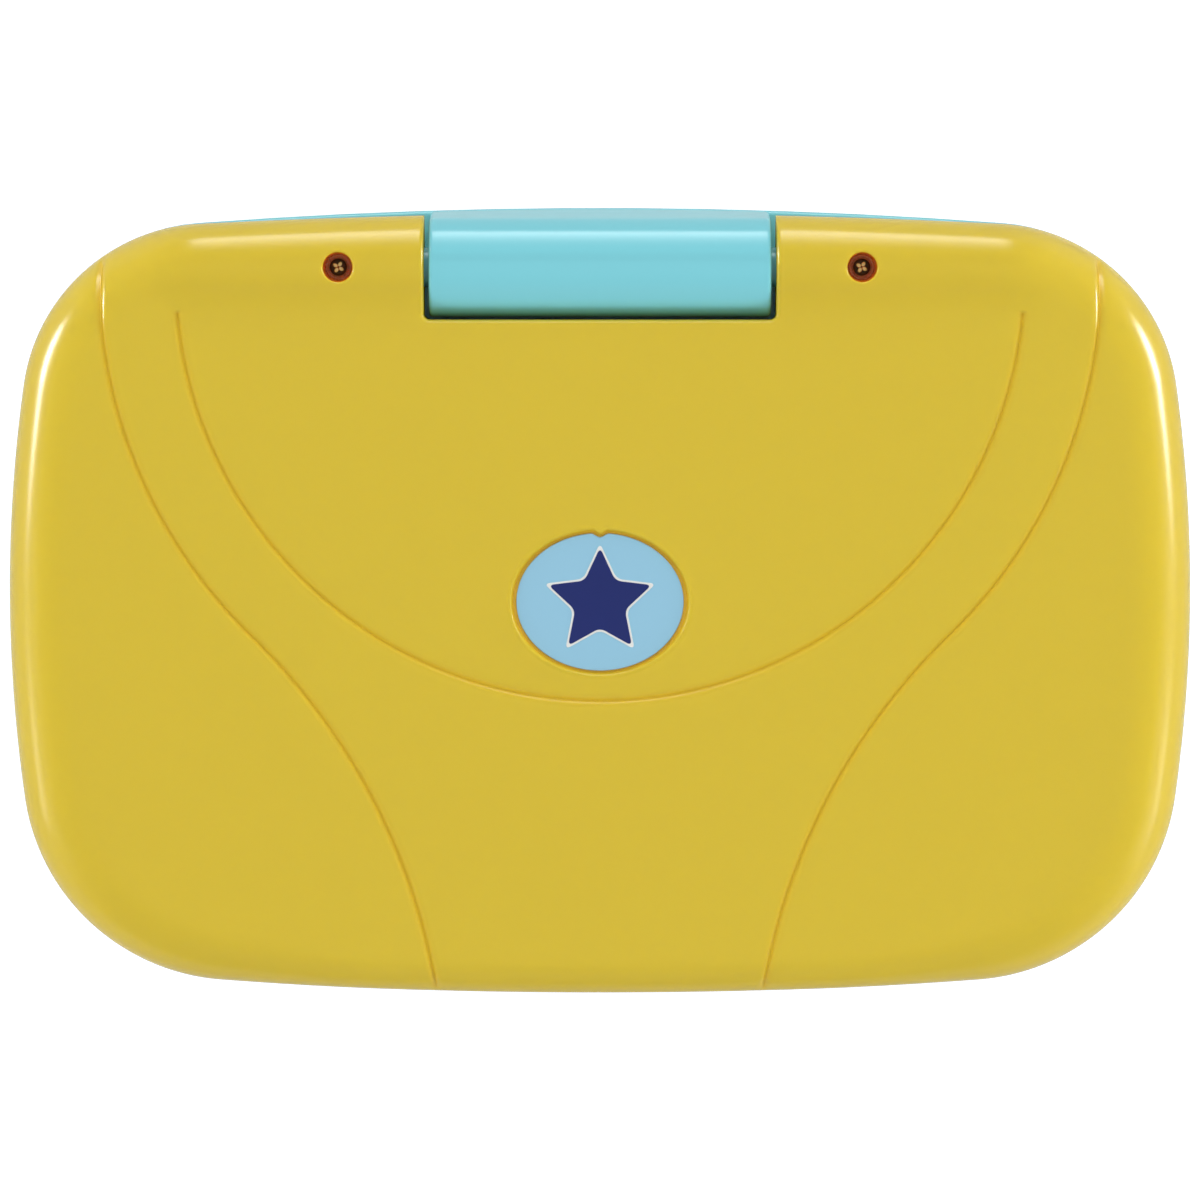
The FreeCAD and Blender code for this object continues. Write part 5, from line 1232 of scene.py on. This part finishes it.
# Pieces that carry the looks
add_piece("lid_shell", lid_mesh(), "lid", "lid_yellow", "lid_back_cover")
add_piece("hinge_barrel_skin", barrel_mesh(), "base", "base_aqua", "hinge_barrel")
add_piece("lid_screw_heads", screw_mesh(), "lid", "screw_steel", "lid_screws", finish="hinge_screw")
add_label()
add_star()
add_key_numbers()
add_switch_words()

# Studio
add_floor()
add_world()
low_peak = (LOW_RISE, LOW_FALL)
add_lamp("left_lamp", LEFT_LAMP, SIDE_LAMP_LENGTH, SIDE_LAMP_HEIGHT, SIDE_LAMP_RADIANCE, "gloss",
         across=(1.0, SIDE_LAMP_FADE))
add_lamp("right_lamp", RIGHT_LAMP, SIDE_LAMP_LENGTH, SIDE_LAMP_HEIGHT, SIDE_LAMP_RADIANCE, "gloss",
         across=(SIDE_LAMP_FADE, 1.0))
add_lamp("left_glow", LEFT_GLOW, LEFT_GLOW_LENGTH, SIDE_GLOW_HEIGHT, LEFT_GLOW_RADIANCE, "gloss",
         upwards=low_peak)
add_lamp("right_glow", RIGHT_GLOW, RIGHT_GLOW_LENGTH, SIDE_GLOW_HEIGHT, RIGHT_GLOW_RADIANCE, "gloss",
         across=(1.0, RIGHT_GLOW_FADE), upwards=low_peak)
add_lamp("rear_lamp", REAR_PLACE, REAR_LAMP_WIDTH, REAR_HEIGHT, REAR_LAMP_RADIANCE, "gloss",
         across=(REAR_LAMP_EDGE, REAR_LAMP_EDGE), upwards=(LOW_RISE, REAR_LAMP_FALL))
add_lamp("rear_fill", REAR_PLACE, REAR_FILL_WIDTH, REAR_HEIGHT, REAR_FILL_RADIANCE, "diffuse")
add_lamp("left_card", LEFT_CARD, SIDE_CARD_LENGTH, SIDE_CARD_HEIGHT, LEFT_CARD_RADIANCE, "diffuse")
add_lamp("right_card", RIGHT_CARD, SIDE_CARD_LENGTH, SIDE_CARD_HEIGHT, RIGHT_CARD_RADIANCE, "diffuse")
add_lamp("front_fill", FRONT_FILL, FRONT_FILL_WIDTH, FRONT_FILL_HEIGHT, FRONT_FILL_RADIANCE, "diffuse")
add_lamp("top_fill", TOP_FILL, TOP_FILL_WIDTH, TOP_FILL_WIDTH, TOP_FILL_RADIANCE, "diffuse")
add_camera()
bpy.context.scene.view_settings.view_transform = "Standard"
